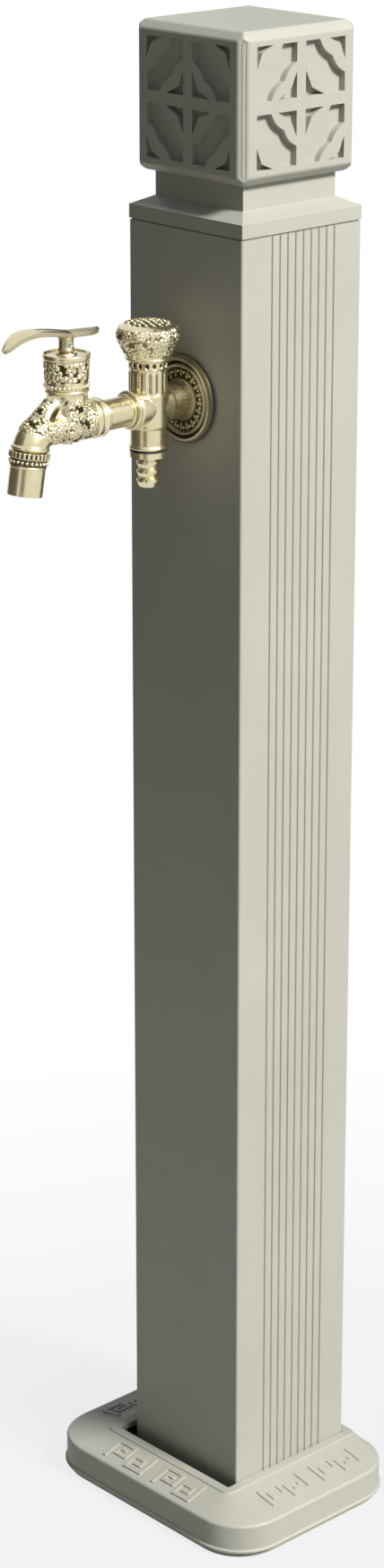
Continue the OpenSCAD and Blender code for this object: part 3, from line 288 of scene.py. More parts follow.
def relief_layer(bm):
    """The height share that the chased brass reads; 1 is polished, 0 is dark ground. The flange and
    the lever hold painted shade in it.
    """
    layer = bm.verts.layers.float.get("relief")
    if layer is None:
        layer = bm.verts.layers.float.new("relief")
        for v in bm.verts:
            v[layer] = 1.0
    return layer


def bead_row(bm, count, radius, height, bead, polish_and_painted_shade, turned=0.0, fineness=2):
    """A row of small beads round Z, in millimetres, with their share of shine; on the flange that
    share is painted shade.
    """
    layer = relief_layer(bm)
    for i in range(count):
        angle = (i + turned) * TURN / count
        place = Vector((radius * math.cos(angle), radius * math.sin(angle), height)) * MM
        made = bmesh.ops.create_icosphere(
            bm, subdivisions=fineness, radius=bead * MM, matrix=Matrix.Translation(place)
        )
        for v in made["verts"]:
            v[layer] = polish_and_painted_shade


def ease(x):
    """A share held between 0 and 1, with soft ends."""
    x = min(max(x, 0.0), 1.0)
    return x * x * (3 - 2 * x)


def rib_share(x, y, count):
    """1 on the ridge of each of so many even ribs round Z, 0 in the valleys."""
    return abs(math.cos(math.atan2(y, x) * count / 2))


def off_middle(v, count):
    """0 in the middle of each of so many even fields round Z, 1 where two fields meet."""
    turn = math.atan2(v.co.y, v.co.x) * count / TURN
    return 2 * abs(turn - round(turn))


def draw_out(v, share, axis=Vector()):
    """Moves a vertex out from an upright axis, or in, to a share of its distance."""
    v.co.x = axis.x + (v.co.x - axis.x) * share
    v.co.y = axis.y + (v.co.y - axis.y) * share


def rosette(x, y, size, petals):
    """Height share of a flower with rounded petals, a vein in each and a boss in the middle."""
    r = math.hypot(x, y)
    angle = math.atan2(y, x) * petals / 2
    reach = size * (0.5 + 0.5 * abs(math.cos(angle)) ** 0.7)
    leaf = ease((reach - r) / (0.28 * size))
    vein = ease(1 - abs(math.sin(angle)) * r / (0.16 * size))
    vein *= ease((r - 0.25 * size) / (0.2 * size))
    moat = ease(1 - abs(r - 0.3 * size) / (0.12 * size))
    return max(leaf * (1 - 0.45 * vein) * (1 - 0.8 * moat), ease((0.3 * size - r) / (0.14 * size)))


def chase(bm, spacing, size, height, share, petals, seed):
    """Raises flowers of a size, a given spacing apart, where share(vertex) is over 0."""
    ground, turned_by = 0.4, 2.4
    layer = relief_layer(bm)
    bm.normal_update()
    chosen = [(v, share(v)) for v in bm.verts]
    chosen = [(v, s) for v, s in chosen if s > 0.01]
    order = [v for v, s in chosen if s > 0.5]
    random.Random(seed).shuffle(order)
    cells = {}
    centres = []
    near = [-1, 0, 1]
    for v in order:
        key = tuple(int(c // (spacing * MM)) for c in v.co)
        around = [
            c
            for dx in near
            for dy in near
            for dz in near
            for c in cells.get((key[0] + dx, key[1] + dy, key[2] + dz), [])
        ]
        if all((c - v.co).length > spacing * MM for c in around):
            cells.setdefault(key, []).append(v.co.copy())
            centres.append((v.co.copy(), v.normal.copy()))
    tree = kdtree.KDTree(len(centres))
    for i, (co, _) in enumerate(centres):
        tree.insert(co, i)
    tree.balance()
    moves = []
    for v, s in chosen:
        tallest = 0.0
        for _, i, _ in tree.find_n(v.co, 2):
            co, normal = centres[i]
            side = normal.orthogonal().normalized()
            turned = Matrix.Rotation(i * turned_by, 3, normal) @ side
            offset = v.co - co
            x, y = offset.dot(turned) / MM, offset.dot(normal.cross(turned)) / MM
            tallest = max(tallest, rosette(x, y, size, petals))
        moves.append((v, v.normal * (tallest - ground) * height * MM * s, 1 - s * (1 - tallest)))
    for v, move, level in moves:
        v.co += move
        v[layer] = min(v[layer], level)


def merged_copy(node):
    """A copy of a CAD node's mesh, merged to a closed shell with its flat faces joined."""
    bm = bmesh.new()
    bm.from_mesh(nodes[node].data)
    bmesh.ops.remove_doubles(bm, verts=bm.verts, dist=CAD_DOUBLE)
    bmesh.ops.dissolve_limit(
        bm, angle_limit=FLAT, verts=bm.verts, edges=bm.edges, delimit={"NORMAL"}
    )
    return bm


def soften(bm, width, segments, test=lambda edge: True):
    """Rounds the sharp edges that a test picks, by a width in millimetres."""
    edges = [e for e in bm.edges if e.is_manifold and e.calc_face_angle(0) > CREASE and test(e)]
    bmesh.ops.bevel(
        bm,
        geom=edges,
        offset=width * MM,
        offset_type="OFFSET",
        affect="EDGES",
        segments=segments,
        profile=0.5,
        material=-1,
        clamp_overlap=True,
    )
    bmesh.ops.dissolve_degenerate(bm, dist=DOUBLE, edges=bm.edges)


def remeshed(bm):
    """An even mesh of closed shells joined to one, for chasing."""
    mesh = bpy.data.meshes.new("even")
    bm.to_mesh(mesh)
    bm.free()
    body = bpy.data.objects.new("even", mesh)
    bpy.context.scene.collection.objects.link(body)
    grid = body.modifiers.new("even", "REMESH")
    grid.mode = "VOXEL"
    grid.voxel_size = CHASE_GRID
    shown = body.evaluated_get(bpy.context.evaluated_depsgraph_get())
    even = bpy.data.meshes.new_from_object(shown)
    bm = bmesh.new()
    bm.from_mesh(even)
    bpy.data.objects.remove(body)
    bpy.data.meshes.remove(mesh)
    bpy.data.meshes.remove(even)
    bmesh.ops.smooth_vert(
        bm, verts=bm.verts, factor=0.5, use_axis_x=True, use_axis_y=True, use_axis_z=True
    )
    return bm


def moved(bm, matrix):
    """Puts a whole mesh in its place."""
    bmesh.ops.transform(bm, matrix=matrix, verts=bm.verts)


# Post and cap: flutes, broad chamfers and the lattice get soft edges


def make_cap_block():
    """Cap block: soft broad chamfers, a deep lattice and a fine bead down each upright edge."""
    low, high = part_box("cap_block")
    middle, half = (low + high) / 2, (high - low) / 2
    chamfer, recess, deeper, slack = 5.2 * MM, 3 * MM, 1.4 * MM, 0.3 * MM
    level = 0.05

    def on_chamfer(edge):
        """True near the block's outer edges, where two of its sides meet."""
        place = (edge.verts[0].co + edge.verts[1].co) / 2 - middle
        depths = sorted(half[i] - abs(place[i]) for i in range(3))
        return depths[1] < chamfer

    bm = merged_copy("cap_block")
    for axis in range(2):
        floors = [
            f
            for f in bm.faces
            if abs(f.normal[axis]) > 0.99
            and abs(half[axis] - abs((f.calc_center_median() - middle)[axis]) - recess) < slack
        ]
        for v in {v for f in floors for v in f.verts}:
            v.co[axis] -= math.copysign(deeper, v.co[axis] - middle[axis])
    soften(bm, 1.3, 4, on_chamfer)
    uprights = [
        f
        for f in bm.faces
        if abs(abs(f.normal.x) - abs(f.normal.y)) < level
        and abs(f.normal.z) < level
        and max(v.co.z for v in f.verts) - min(v.co.z for v in f.verts) > half.z
    ]
    # A plain margin, then down into a groove and up onto the bead
    for inset, out in ((0.5, 0.0), (0.45, -0.5), (0.45, 0.6)):
        bmesh.ops.inset_individual(bm, faces=uprights, thickness=inset * MM, depth=out * MM)
    soften(bm, 0.4, 2, lambda e: not on_chamfer(e))
    piece("cap_block_casting", bm, cast_coat, "coat", "column", "cap_block", flat_sided=True)


def make_cap_collar():
    """Cap collar: the casting with its edges rounded."""
    bm = merged_copy("cap_collar")
    soften(bm, 0.7, 3)
    piece("cap_collar_casting", bm, cast_coat, "coat", "column", "cap_collar", flat_sided=True)


def make_post():
    """Post: an extrusion, so the flutes on its two sides have rounded edges."""
    flute_floor, flute_reach = 48.5 * MM, 28 * MM
    bm = merged_copy("post")

    def along_flute(edge):
        """True for the upright edges of the flutes."""
        ends = [v.co for v in edge.verts]
        run = ends[0] - ends[1]
        upright = abs(run.z) > 0.9 * run.length
        return upright and all(abs(co.x) > flute_floor and abs(co.y) < flute_reach for co in ends)

    soften(bm, 0.55, 3, along_flute)
    piece("post_extrusion", bm, extruded_coat, "coat", "column", "post", flat_sided=True)


make_post()
make_cap_block()
make_cap_collar()


# Base cover: a rounded shell with raised key patterns on three slopes


COVER_LOW, COVER_HIGH = (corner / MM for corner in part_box("base_cover"))
LEDGE = 1.2
COVER_W, COVER_D = (COVER_HIGH[i] - COVER_LOW[i] - 2 * LEDGE for i in range(2))
COVER_X, COVER_Y = ((COVER_HIGH[i] + COVER_LOW[i]) / 2 for i in range(2))
COVER_R = 34.0
# The loose cover has slid equally in X and Y, so its square opening has one middle for both
OPENING_Y = COVER_X
OPENING, RIM = 108.0, 122.0
SLOPE_IN, SLOPE_LOW, SLOPE_HIGH = 2.4, 24.3, 30.5


def rounded_loop(bm, wide, deep, radius, middle_y, height):
    """A closed loop of edges round a rectangle with rounded corners, in millimetres."""
    per_corner = 10
    verts = []
    corners = [(1, 1, 0.0), (-1, 1, 0.25), (-1, -1, 0.5), (1, -1, 0.75)]
    for sx, sy, start in corners:
        for i in range(per_corner + 1):
            angle = (start + 0.25 * i / per_corner) * TURN
            x = COVER_X + sx * (wide / 2 - radius) + radius * math.cos(angle)
            y = middle_y + sy * (deep / 2 - radius) + radius * math.sin(angle)
            verts.append(bm.verts.new((x * MM, y * MM, height * MM)))
    return [bm.edges.new(pair) for pair in zip(verts, verts[1:] + verts[:1])]


def make_base_cover():
    """Base cover: a shell with a foot ledge, upright sides, a slope and a rim round the post."""
    bm = bmesh.new()

    def outline(inset, height):
        """A loop that follows the cover's outside."""
        return rounded_loop(
            bm, COVER_W - 2 * inset, COVER_D - 2 * inset, COVER_R - inset, COVER_Y, height
        )

    def square(width, radius, height):
        """A loop round the post."""
        return rounded_loop(bm, width, width, radius, OPENING_Y, height)

    # Bridging needs a direction from loop to loop, so no two neighbours lie at one height
    loops = [
        outline(2.0, 0.0),
        outline(2.0, 3.9),
        outline(-0.9, 4.0),
        outline(-1.2, 4.4),
        outline(-1.2, 5.5),
        outline(-0.8, 6.0),
        outline(0.0, 6.3),
        outline(0.0, 22.0),
        outline(0.25, 23.0),
        outline(0.7, 23.6),
        outline(1.4, 24.05),
        outline(SLOPE_IN, SLOPE_LOW),
        square(RIM, 6.0, SLOPE_HIGH),
        square(RIM - 0.4, 5.8, SLOPE_HIGH + 0.6),
        square(RIM - 1.2, 5.4, SLOPE_HIGH + 0.9),
        square(OPENING + 1.0, 1.4, SLOPE_HIGH + 1.0),
        square(OPENING, 1.0, SLOPE_HIGH + 0.5),
        square(OPENING, 1.0, SLOPE_HIGH - 3.0),
        square(OPENING + 6.0, 3.0, SLOPE_HIGH - 3.1),
        outline(5.0, 21.0),
        outline(5.0, 0.1),
    ]
    for first, second in zip(loops, loops[1:] + loops[:1]):
        bmesh.ops.bridge_loops(bm, edges=first + second)
    close_up(bm)
    piece("base_cover_casting", bm, cast_coat, "coat", "column", "base_cover", flat_sided=True)


FRET_STROKE, FRET_UP, FRET_PITCH, FRET_LEGS = 2.5, 0.9, 48.0, 6


def fret_cells():
    """Cells of two square hooks, one turned half way round, in strokes from the middle."""
    cells, x, y = set(), 0, 0
    for leg in range(FRET_LEGS):
        dx, dy = ((0, 1), (1, 0), (0, -1), (-1, 0))[leg % 4]
        for _ in range(FRET_LEGS - 2 * (leg // 2)):
            cells.add((x, y))
            x, y = x + dx, y + dy
    cells.add((x, y))
    hook = {(cx - FRET_LEGS - 1, cy - FRET_LEGS // 2) for cx, cy in cells}
    return hook | {(-cx, -cy) for cx, cy in hook}


def make_frets(name, edge, rim, along):
    """Two key patterns on the slope from edge up to rim, side by side along a direction."""
    bm = bmesh.new()
    cells = fret_cells()
    columns, rows = 2 * FRET_LEGS + 3, FRET_LEGS + 1
    across, rise = Vector(along), (Vector(rim) - Vector(edge)).normalized()
    out = across.cross(rise)
    middle = (Vector(edge) + Vector(rim)) / 2
    laid = Matrix(
        (across * columns * FRET_STROKE * MM, rise * rows * FRET_STROKE * MM, out * MM)
    ).transposed()
    for side in (-1, 1):
        verts = bmesh.ops.create_grid(bm, x_segments=columns, y_segments=rows, size=0.5)["verts"]
        for v in verts:
            v.co = laid @ v.co + (middle + across * side * FRET_PITCH / 2) * MM
    gone = []
    for f in bm.faces:
        place = f.calc_center_median() / MM - middle
        x = place.dot(across)
        x -= math.copysign(FRET_PITCH / 2, x)
        y = place.dot(rise)
        if (round(x / FRET_STROKE), round(y / FRET_STROKE)) not in cells:
            gone.append(f)
    bmesh.ops.delete(bm, geom=gone, context="FACES")
    sunk = 0.5
    bmesh.ops.translate(bm, verts=bm.verts, vec=-out * sunk * MM)
    bmesh.ops.recalc_face_normals(bm, faces=bm.faces)
    flat = bm.faces[:]
    if flat[0].normal.dot(out) < 0:
        bmesh.ops.reverse_faces(bm, faces=flat)
    raised = bmesh.ops.extrude_face_region(bm, geom=flat, use_keep_orig=True)["geom"]
    tops = [g for g in raised if isinstance(g, bmesh.types.BMVert)]
    bmesh.ops.translate(bm, verts=tops, vec=out * (sunk + FRET_UP) * MM)
    close_up(bm)
    bmesh.ops.dissolve_limit(bm, angle_limit=FLAT, verts=bm.verts, edges=bm.edges, delimit=set())
    level = (middle + out * (FRET_UP - 0.1)).dot(out) * MM
    soften(bm, 0.45, 2, lambda e: all(v.co.dot(out) > level for v in e.verts))
    piece(name, bm, cast_coat, "coat", "column", flat_sided=True)


make_base_cover()
edge_x = COVER_W / 2 - SLOPE_IN
edge_front = COVER_Y - COVER_D / 2 + SLOPE_IN
rim_half = RIM / 2
make_frets(
    "base_cover_key_front",
    (COVER_X, edge_front, SLOPE_LOW),
    (COVER_X, OPENING_Y - rim_half, SLOPE_HIGH),
    (1, 0, 0),
)
for name, side in (("base_cover_key_right", 1), ("base_cover_key_left", -1)):
    make_frets(
        name,
        (COVER_X + side * edge_x, OPENING_Y, SLOPE_LOW),
        (COVER_X + side * rim_half, OPENING_Y, SLOPE_HIGH),
        (0, side, 0),
    )


# Tap: axes and levels come from the CAD nodes


def axis_of(node):
    """Middle of a CAD node in X and Y, with its lowest level."""
    low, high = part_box(node)
    return Vector(((low.x + high.x) / 2, (low.y + high.y) / 2, low.z))


WHEEL = axis_of("hand_wheel")
FLANGE_LOW, FLANGE_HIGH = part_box("flange")
TAP_Z = (FLANGE_LOW.z + FLANGE_HIGH.z) / 2
LEVER_LOW, LEVER_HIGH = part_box("lever_bonnet")
LEVER_AXIS = Vector((0, (LEVER_LOW.y + LEVER_HIGH.y) / 2, 0))
LEVER_BODY_TOP = TAP_Z + 22 * MM
BEND, BEND_R = 80, 14 * MM
BEND_FROM = LEVER_AXIS + Vector((0, -15.5 * MM, TAP_Z))
SPOUT = [
    BEND_FROM + Vector((0, -BEND_R * math.sin(a), BEND_R * (math.cos(a) - 1)))
    for a in (math.radians(BEND * i / 8) for i in range(9))
]


def make_flange():
    """Wall flange: a sloping skirt, two rings and a dark groove, leaves with beads, and a boss, all
    darkened as painted shade.
    """
    outer, bore, thick = 27.5, 10.5, 3.4
    skirt_end, leaf_out, leaf_in, ground = 25.8, 19.5, 13.4, 1.5
    groove_in, groove_out = 22.2, 23.6
    # Painted shade: every zone keeps only a small share of shine, so the whole flange reads dark,
    # as if it stood in shade
    skirt_shine_in_painted_shade, groove_shine_in_painted_shade, ring_shine_in_painted_shade, leaf_shine_in_painted_shade, boss_shine_in_painted_shade = 0.1, 0.0, 0.32, 0.36, 0.26
    profile = [
        (bore, 0), (outer - 0.3, 0), (outer, 0.3), (outer - 0.1, 0.9), (26.5, 2.1),
        (skirt_end, 2.5), (25.4, 3.0), (24.7, thick), (24.0, 3.2), (23.5, 2.4), (23.1, 1.8),
        (22.6, 1.7), (22.2, 2.3), (21.7, 3.0), (21.0, 3.2), (20.3, 2.9), (19.9, 2.2),
        (leaf_out, ground),
    ]
    profile += steps_between((leaf_out, ground), (leaf_in, ground), 14)
    profile += [(13.0, 2.6), (12.5, thick), (bore, thick)]
    bm = spun(profile, 192)
    layer = relief_layer(bm)
    leaves = 20
    for v in bm.verts:
        r = math.hypot(v.co.x, v.co.y) / MM
        z = v.co.z / MM
        if leaf_in < r < leaf_out - 0.2 and z > 1:
            span = (r - leaf_in) / (leaf_out - leaf_in)
            leaf = ease(1.6 * rib_share(v.co.x, v.co.y, leaves) - 0.7)
            leaf *= ease(math.sin(math.pi * span) * 1.3)
            v.co.z += 0.9 * leaf * MM
            v[layer] = leaf * leaf_shine_in_painted_shade
        elif groove_in < r < groove_out and z > 1:
            v[layer] = groove_shine_in_painted_shade
        elif r > skirt_end - 0.1:
            v[layer] = skirt_shine_in_painted_shade
        elif r > leaf_out:
            v[layer] = ring_shine_in_painted_shade
        else:
            v[layer] = boss_shine_in_painted_shade
    # Painted shade: the beads, too, keep less than half their shine
    bead_row(bm, leaves, 17.4, ground + 0.3, 1.0, 0.45, 0.5)
    back = Vector((0, FLANGE_HIGH.y, TAP_Z))
    moved(bm, Matrix.Translation(back) @ Matrix.Rotation(TURN / 4, 4, "X"))
    piece("wall_flange", bm, chased_gold, "gold_brass", "column", "flange")


FLUTES = 14


def flute(v, axis, share, depth):
    """Draws a barrel's vertex in or out to make soft upright flutes, and gives its relief."""
    x, y = v.co.x - axis.x, v.co.y - axis.y
    rib = rib_share(x, y, FLUTES)
    draw_out(v, 1 + depth * (rib - 0.6) * share * MM / math.hypot(x, y), axis)
    return 1 - ease((0.4 - rib) / 0.4) * share


def make_angle_body():
    """First valve body: a thick cross run over a slimmer leg, with flutes on the upright barrel."""
    bm = merged_copy("angle_body")
    run_from, run_to, run_r = 12.5, -13.5, 11.9
    middle = Vector((0, WHEEL.y + (run_from + run_to) / 2 * MM, TAP_Z))
    bmesh.ops.create_cone(
        bm,
        cap_ends=True,
        segments=64,
        radius1=run_r * MM,
        radius2=run_r * MM,
        depth=(run_from - run_to) * MM,
        matrix=Matrix.Translation(middle) @ Matrix.Rotation(TURN / 4, 4, "X"),
    )
    bm = remeshed(bm)
    layer = relief_layer(bm)
    wall_in, wall_out = 9, 14.5
    leg_top, leg_share = -11.4, 0.905
    barrel_low, barrel_r, fluted_from = 7, 11.6, 8
    for v in bm.verts:
        x, y, up = v.co.x / MM, (v.co.y - WHEEL.y) / MM, (v.co.z - TAP_Z) / MM
        r = math.hypot(x, y)
        if not wall_in <= r <= wall_out:
            continue
        if up < leg_top:
            draw_out(v, 1 - (1 - leg_share) * ease((leg_top - up) / 1.6), WHEEL)
        elif up > barrel_low:
            draw_out(v, 1 - (1 - min(barrel_r / r, 1)) * ease((up - barrel_low) / 3), WHEEL)
            v[layer] = flute(v, WHEEL, ease((up - fluted_from) / 3), 0.8)
    piece("angle_valve_body", bm, chased_gold, "gold_brass", "column", "angle_body")


def make_wheel_bonnet():
    """First bonnet: flutes that run on from the valve body, a band of ovals and a neck."""
    foot, clear, bore, barrel_r = 13, 0.5, 4.2, 11.6
    height = (WHEEL.z - TAP_Z) / MM - foot - clear
    fluted, banded = height - 8.2, height - 2.6
    profile = [(bore, 0), (barrel_r, 0)]
    profile += steps_between((barrel_r, 0), (barrel_r, fluted), 14)
    profile += [(12.1, fluted + 0.4), (12.2, fluted + 0.8), (11.8, fluted + 1.2)]
    profile += steps_between((11.8, fluted + 1.2), (12.0, banded), 10)
    profile += [(12.5, banded + 0.4), (12.6, banded + 0.9), (12.3, banded + 1.4)]
    profile += [(12.0, height), (bore, height)]
    bm = spun(profile, 168)
    layer = relief_layer(bm)
    ovals = 16
    for v in bm.verts:
        z = v.co.z / MM
        if math.hypot(v.co.x, v.co.y) < 10 * MM:
            continue
        if z < fluted:
            v[layer] = flute(v, Vector(), ease((fluted - z) / 2), 0.8)
        elif fluted + 1 < z < banded:
            up = 2 * (z - fluted - 1) / (banded - fluted - 1) - 1
            hole = ease((1 - math.hypot(off_middle(v, ovals) / 0.62, up / 0.85)) / 0.35)
            draw_out(v, 1 - 0.07 * hole)
            v[layer] = 1 - hole
    moved(bm, Matrix.Translation(Vector((0, WHEEL.y, TAP_Z + foot * MM))))
    piece("fluted_wheel_bonnet", bm, chased_gold, "gold_brass", "column", "wheel_bonnet")


def make_hand_wheel():
    """Hand wheel: a full cup of soft petals, chased up to its shoulder, over a plain skirt."""
    petals, bore = 12, 3.25
    shoulder, skirt_r, skirt_top = 19.2, 13.6, -1.0
    profile = [
        (bore, 1), (6.4, 1), (6.4, 6), (12.8, 6.5), (13.1, 5.6), (13.1, -2.2), (13.3, -2.5),
        (13.9, -2.5), (14.2, -2.2), (14.2, -1.4), (13.9, skirt_top),
    ]
    swell = [
        (13.9, skirt_top), (14.6, 0.6), (15.7, 2.8), (16.9, 5.0), (18.0, 7.2), (18.9, 9.4),
        (19.5, 11.4), (19.6, 13.0), (19.2, 14.8), (18.1, 16.6), (16.6, 18.0), (15.2, 18.9),
    ]
    for start, stop in zip(swell, swell[1:]):
        profile += steps_between(start, stop, 4)
    profile += [(14.6, shoulder), (14.2, 19.1), (14.1, 18.6), (14.1, 17.2), (bore, 17.2)]
    bm = spun(profile, 264)
    for v in bm.verts:
        z = v.co.z / MM
        r = math.hypot(v.co.x, v.co.y) / MM
        if r < skirt_r or z < skirt_top or (r < 14.5 and z > 15):
            continue
        up = (z - skirt_top) / (shoulder - skirt_top)
        lobe = 0.4 * math.cos(off_middle(v, petals) * math.pi)
        lobe *= ease(up) * ease((1 - up) / 0.3)
        draw_out(v, 1 + (lobe - 0.5 * ease(3 * up)) / r)

    def cup(v):
        """Share of chasing: the cup's outside, clear of the skirt and the shoulder."""
        if math.hypot(v.co.x, v.co.y) < skirt_r * MM:
            return 0.0
        return 0.85 * ease(min(v.co.z / MM, shoulder - 1.2 - v.co.z / MM) / 1.4)

    chase(bm, 4.9, 4.3, 0.8, cup, 5, 4)
    moved(bm, Matrix.Translation(Vector((0, WHEEL.y, WHEEL.z))))
    piece("petal_hand_wheel", bm, chased_gold, "gold_brass", "wheel_handle", "hand_wheel")


def make_wheel_crown():
    """Crown: a low dome with rows of large beads, dark between them."""
    radius, seat, edge, rise, bead, pitch = 14.0, 17.4, 0.4, 1.3, 1.45, 4.4
    rows = [12.4, 8.5, 4.6, 0.0]
    rings = 8
    profile = [(0, 0), (radius, 0)]
    for i in range(rings + 1):
        out = 1 - i / rings
        profile.append((radius * out, edge + rise * (1 - out**2)))
    bm = spun(profile, 96, closed=False)
    layer = relief_layer(bm)
    for v in bm.verts:
        v[layer] = 0.0
    for i, row in enumerate(rows):
        count = max(1, int(TURN * row / pitch))
        level = edge + rise * (1 - (row / radius) ** 2) + 0.15
        bead_row(bm, count, row, level, bead, 0.45, 0.3 * i, 3)
    moved(bm, Matrix.Translation(Vector((0, WHEEL.y, WHEEL.z + seat * MM))))
    piece("beaded_wheel_crown", bm, chased_gold, "gold_brass", "wheel_handle", "wheel_crown")


def make_lever_bonnet():
    """Second bonnet: beads at its foot, a chased band and a plain flared rim."""
    height, bore, wall_in = 21.0, 4.2, 12
    profile = [(bore, 0), (12.6, 0), (13.1, 1.1), (12.9, 2.2), (12.7, 3.2)]
    profile += steps_between((12.7, 3.2), (13.3, 17.2), 34)
    profile += [
        (13.9, 17.6), (14.2, 18.2), (14.2, 20.0), (13.9, 20.5), (13.3, 20.6), (12.6, 20.3),
        (12.2, 19.6), (6.6, 19.8), (6.2, 20.4), (5.8, height), (bore, height),
    ]
    bm = spun(profile, 180)
    low, high = 3.6 * MM, 16.8 * MM

    def band(v):
        """Share of chasing: the bonnet's outside between its beads and its rim."""
        if math.hypot(v.co.x, v.co.y) < wall_in * MM or not low < v.co.z < high:
            return 0.0
        return ease(min(v.co.z - low, high - v.co.z) / (1.2 * MM))

    chase(bm, 6.6, 5.4, 0.9, band, 5, 3)
    bead_row(bm, 30, 12.8, 1.76, 1.1, 1.0)
    moved(bm, Matrix.Translation(LEVER_AXIS + Vector((0, 0, LEVER_HIGH.z - height * MM))))
    piece("chased_lever_bonnet", bm, chased_gold, "gold_brass", "column", "lever_bonnet")


def nearest_on(line, point):
    """Nearest point to a point on a line of straight stretches."""
    best = None
    for a, b in zip(line, line[1:]):
        along = b - a
        share = min(max((point - a).dot(along) / along.length_squared, 0), 1)
        place = a + along * share
        if best is None or (point - place).length < (point - best).length:
            best = place
    return best


def make_bib_body():
    """Second valve body: socket, barrel, a web down to the spout and chased flowers between."""
    inner = Vector((0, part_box("bib_body")[1].y, TAP_Z))
    centre = LEVER_AXIS + Vector((0, 0, TAP_Z))
    run = [inner, centre] + SPOUT
    stand = [centre, Vector((0, centre.y, LEVER_BODY_TOP))]
    end = SPOUT[-1]
    bm = merged_copy("bib_body")
    web_top = LEVER_AXIS + Vector((0, -4.6 * MM, LEVER_BODY_TOP - 4 * MM))
    web_foot = end + Vector((0, 2.2 * MM, 6.6 * MM))
    web = web_foot - web_top
    tilted = web.to_track_quat("Z", "X").to_matrix().to_4x4()
    bmesh.ops.create_cone(
        bm,
        cap_ends=True,
        segments=32,
        radius1=6 * MM,
        radius2=9.6 * MM,
        depth=web.length,
        matrix=Matrix.Translation((web_top + web_foot) / 2) @ tilted,
    )
    bm = remeshed(bm)

    leaf_top = LEVER_AXIS + Vector((9.4, -8.5, 15.5)) * MM + UP * TAP_Z
    leaf_foot = LEVER_AXIS + Vector((7.0, -20.0, 4.5)) * MM + UP * TAP_Z

    def hollow(v):
        """How deep a place lies in the leaf's hollow; below 0 outside it."""
        place = Vector((abs(v.co.x), v.co.y, v.co.z))
        spine = nearest_on([leaf_top, leaf_foot], place)
        along = (spine - leaf_top).length / (leaf_foot - leaf_top).length
        return 1 - (place - spine).length / ((1.2 + 2.6 * math.sin(math.pi * along)) * MM)

    def ornament(v):
        """Share of chasing: the outside, clear of its top, its root, its tip and the leaf."""
        place = min(
            (nearest_on(run, v.co), nearest_on(stand, v.co)), key=lambda p: (v.co - p).length
        )
        out = v.co - place
        if out.length < 8.6 * MM or out.dot(v.normal) < 0.3 * out.length:
            return 0.0
        top = (LEVER_BODY_TOP - 4.5 * MM - v.co.z) / (1.5 * MM)
        root = (inner.y - 8.6 * MM - v.co.y) / (1.5 * MM)
        tip = ((v.co - end).length - 13 * MM) / (2 * MM)
        clear = -2.2 * hollow(v) - 1
        return ease(min(top, root, tip, clear))

    chase(bm, 5.2, 4.3, 0.65, ornament, 6, 5)
    layer = relief_layer(bm)
    bm.normal_update()
    sunk = [(v, v.normal.copy(), ease(1.6 * hollow(v))) for v in bm.verts]
    for v, normal, depth in sunk:
        if depth > 0:
            v.co -= normal * depth * MM
            v[layer] = 1 - depth
    piece("chased_bib_body", bm, chased_gold, "gold_brass", "column", "bib_body")


def make_nozzle_ring():
    """Nozzle ring: a dark knurled lip under the spout, a hollow with beads and a bottom ring."""
    bore, lip, ribs = 10.0, 12.3, 26
    profile = [(bore, -0.4), (lip - 0.6, -0.4), (lip, -0.9)]
    profile += steps_between((lip, -0.9), (lip, -3.7), 6)
    profile += [(lip - 0.5, -4.2), (11.0, -4.6), (10.8, -5.2), (10.8, -7.4), (11.2, -7.8)]
    profile += [(11.1, -8.4), (bore, -8.4)]
    bm = spun(profile, 208)
    layer = relief_layer(bm)
    for v in bm.verts:
        r = math.hypot(v.co.x, v.co.y) / MM
        if r > lip - 0.1:
            rib = rib_share(v.co.x, v.co.y, ribs)
            draw_out(v, 1 - 0.8 * (1 - rib) / r)
            v[layer] = 0.7 * ease((rib - 0.3) / 0.5)
        elif r > bore + 0.1 and v.co.z < -4.5 * MM:
            v[layer] = 0.1
    bead_row(bm, 24, 10.9, -6.3, 1.15, 1.0)
    moved(bm, Matrix.Translation(SPOUT[-1]) @ Matrix.Rotation(-math.radians(90 - BEND), 4, "X"))
    piece("knurled_nozzle_ring", bm, chased_gold, "gold_brass", "column", "nozzle_ring")


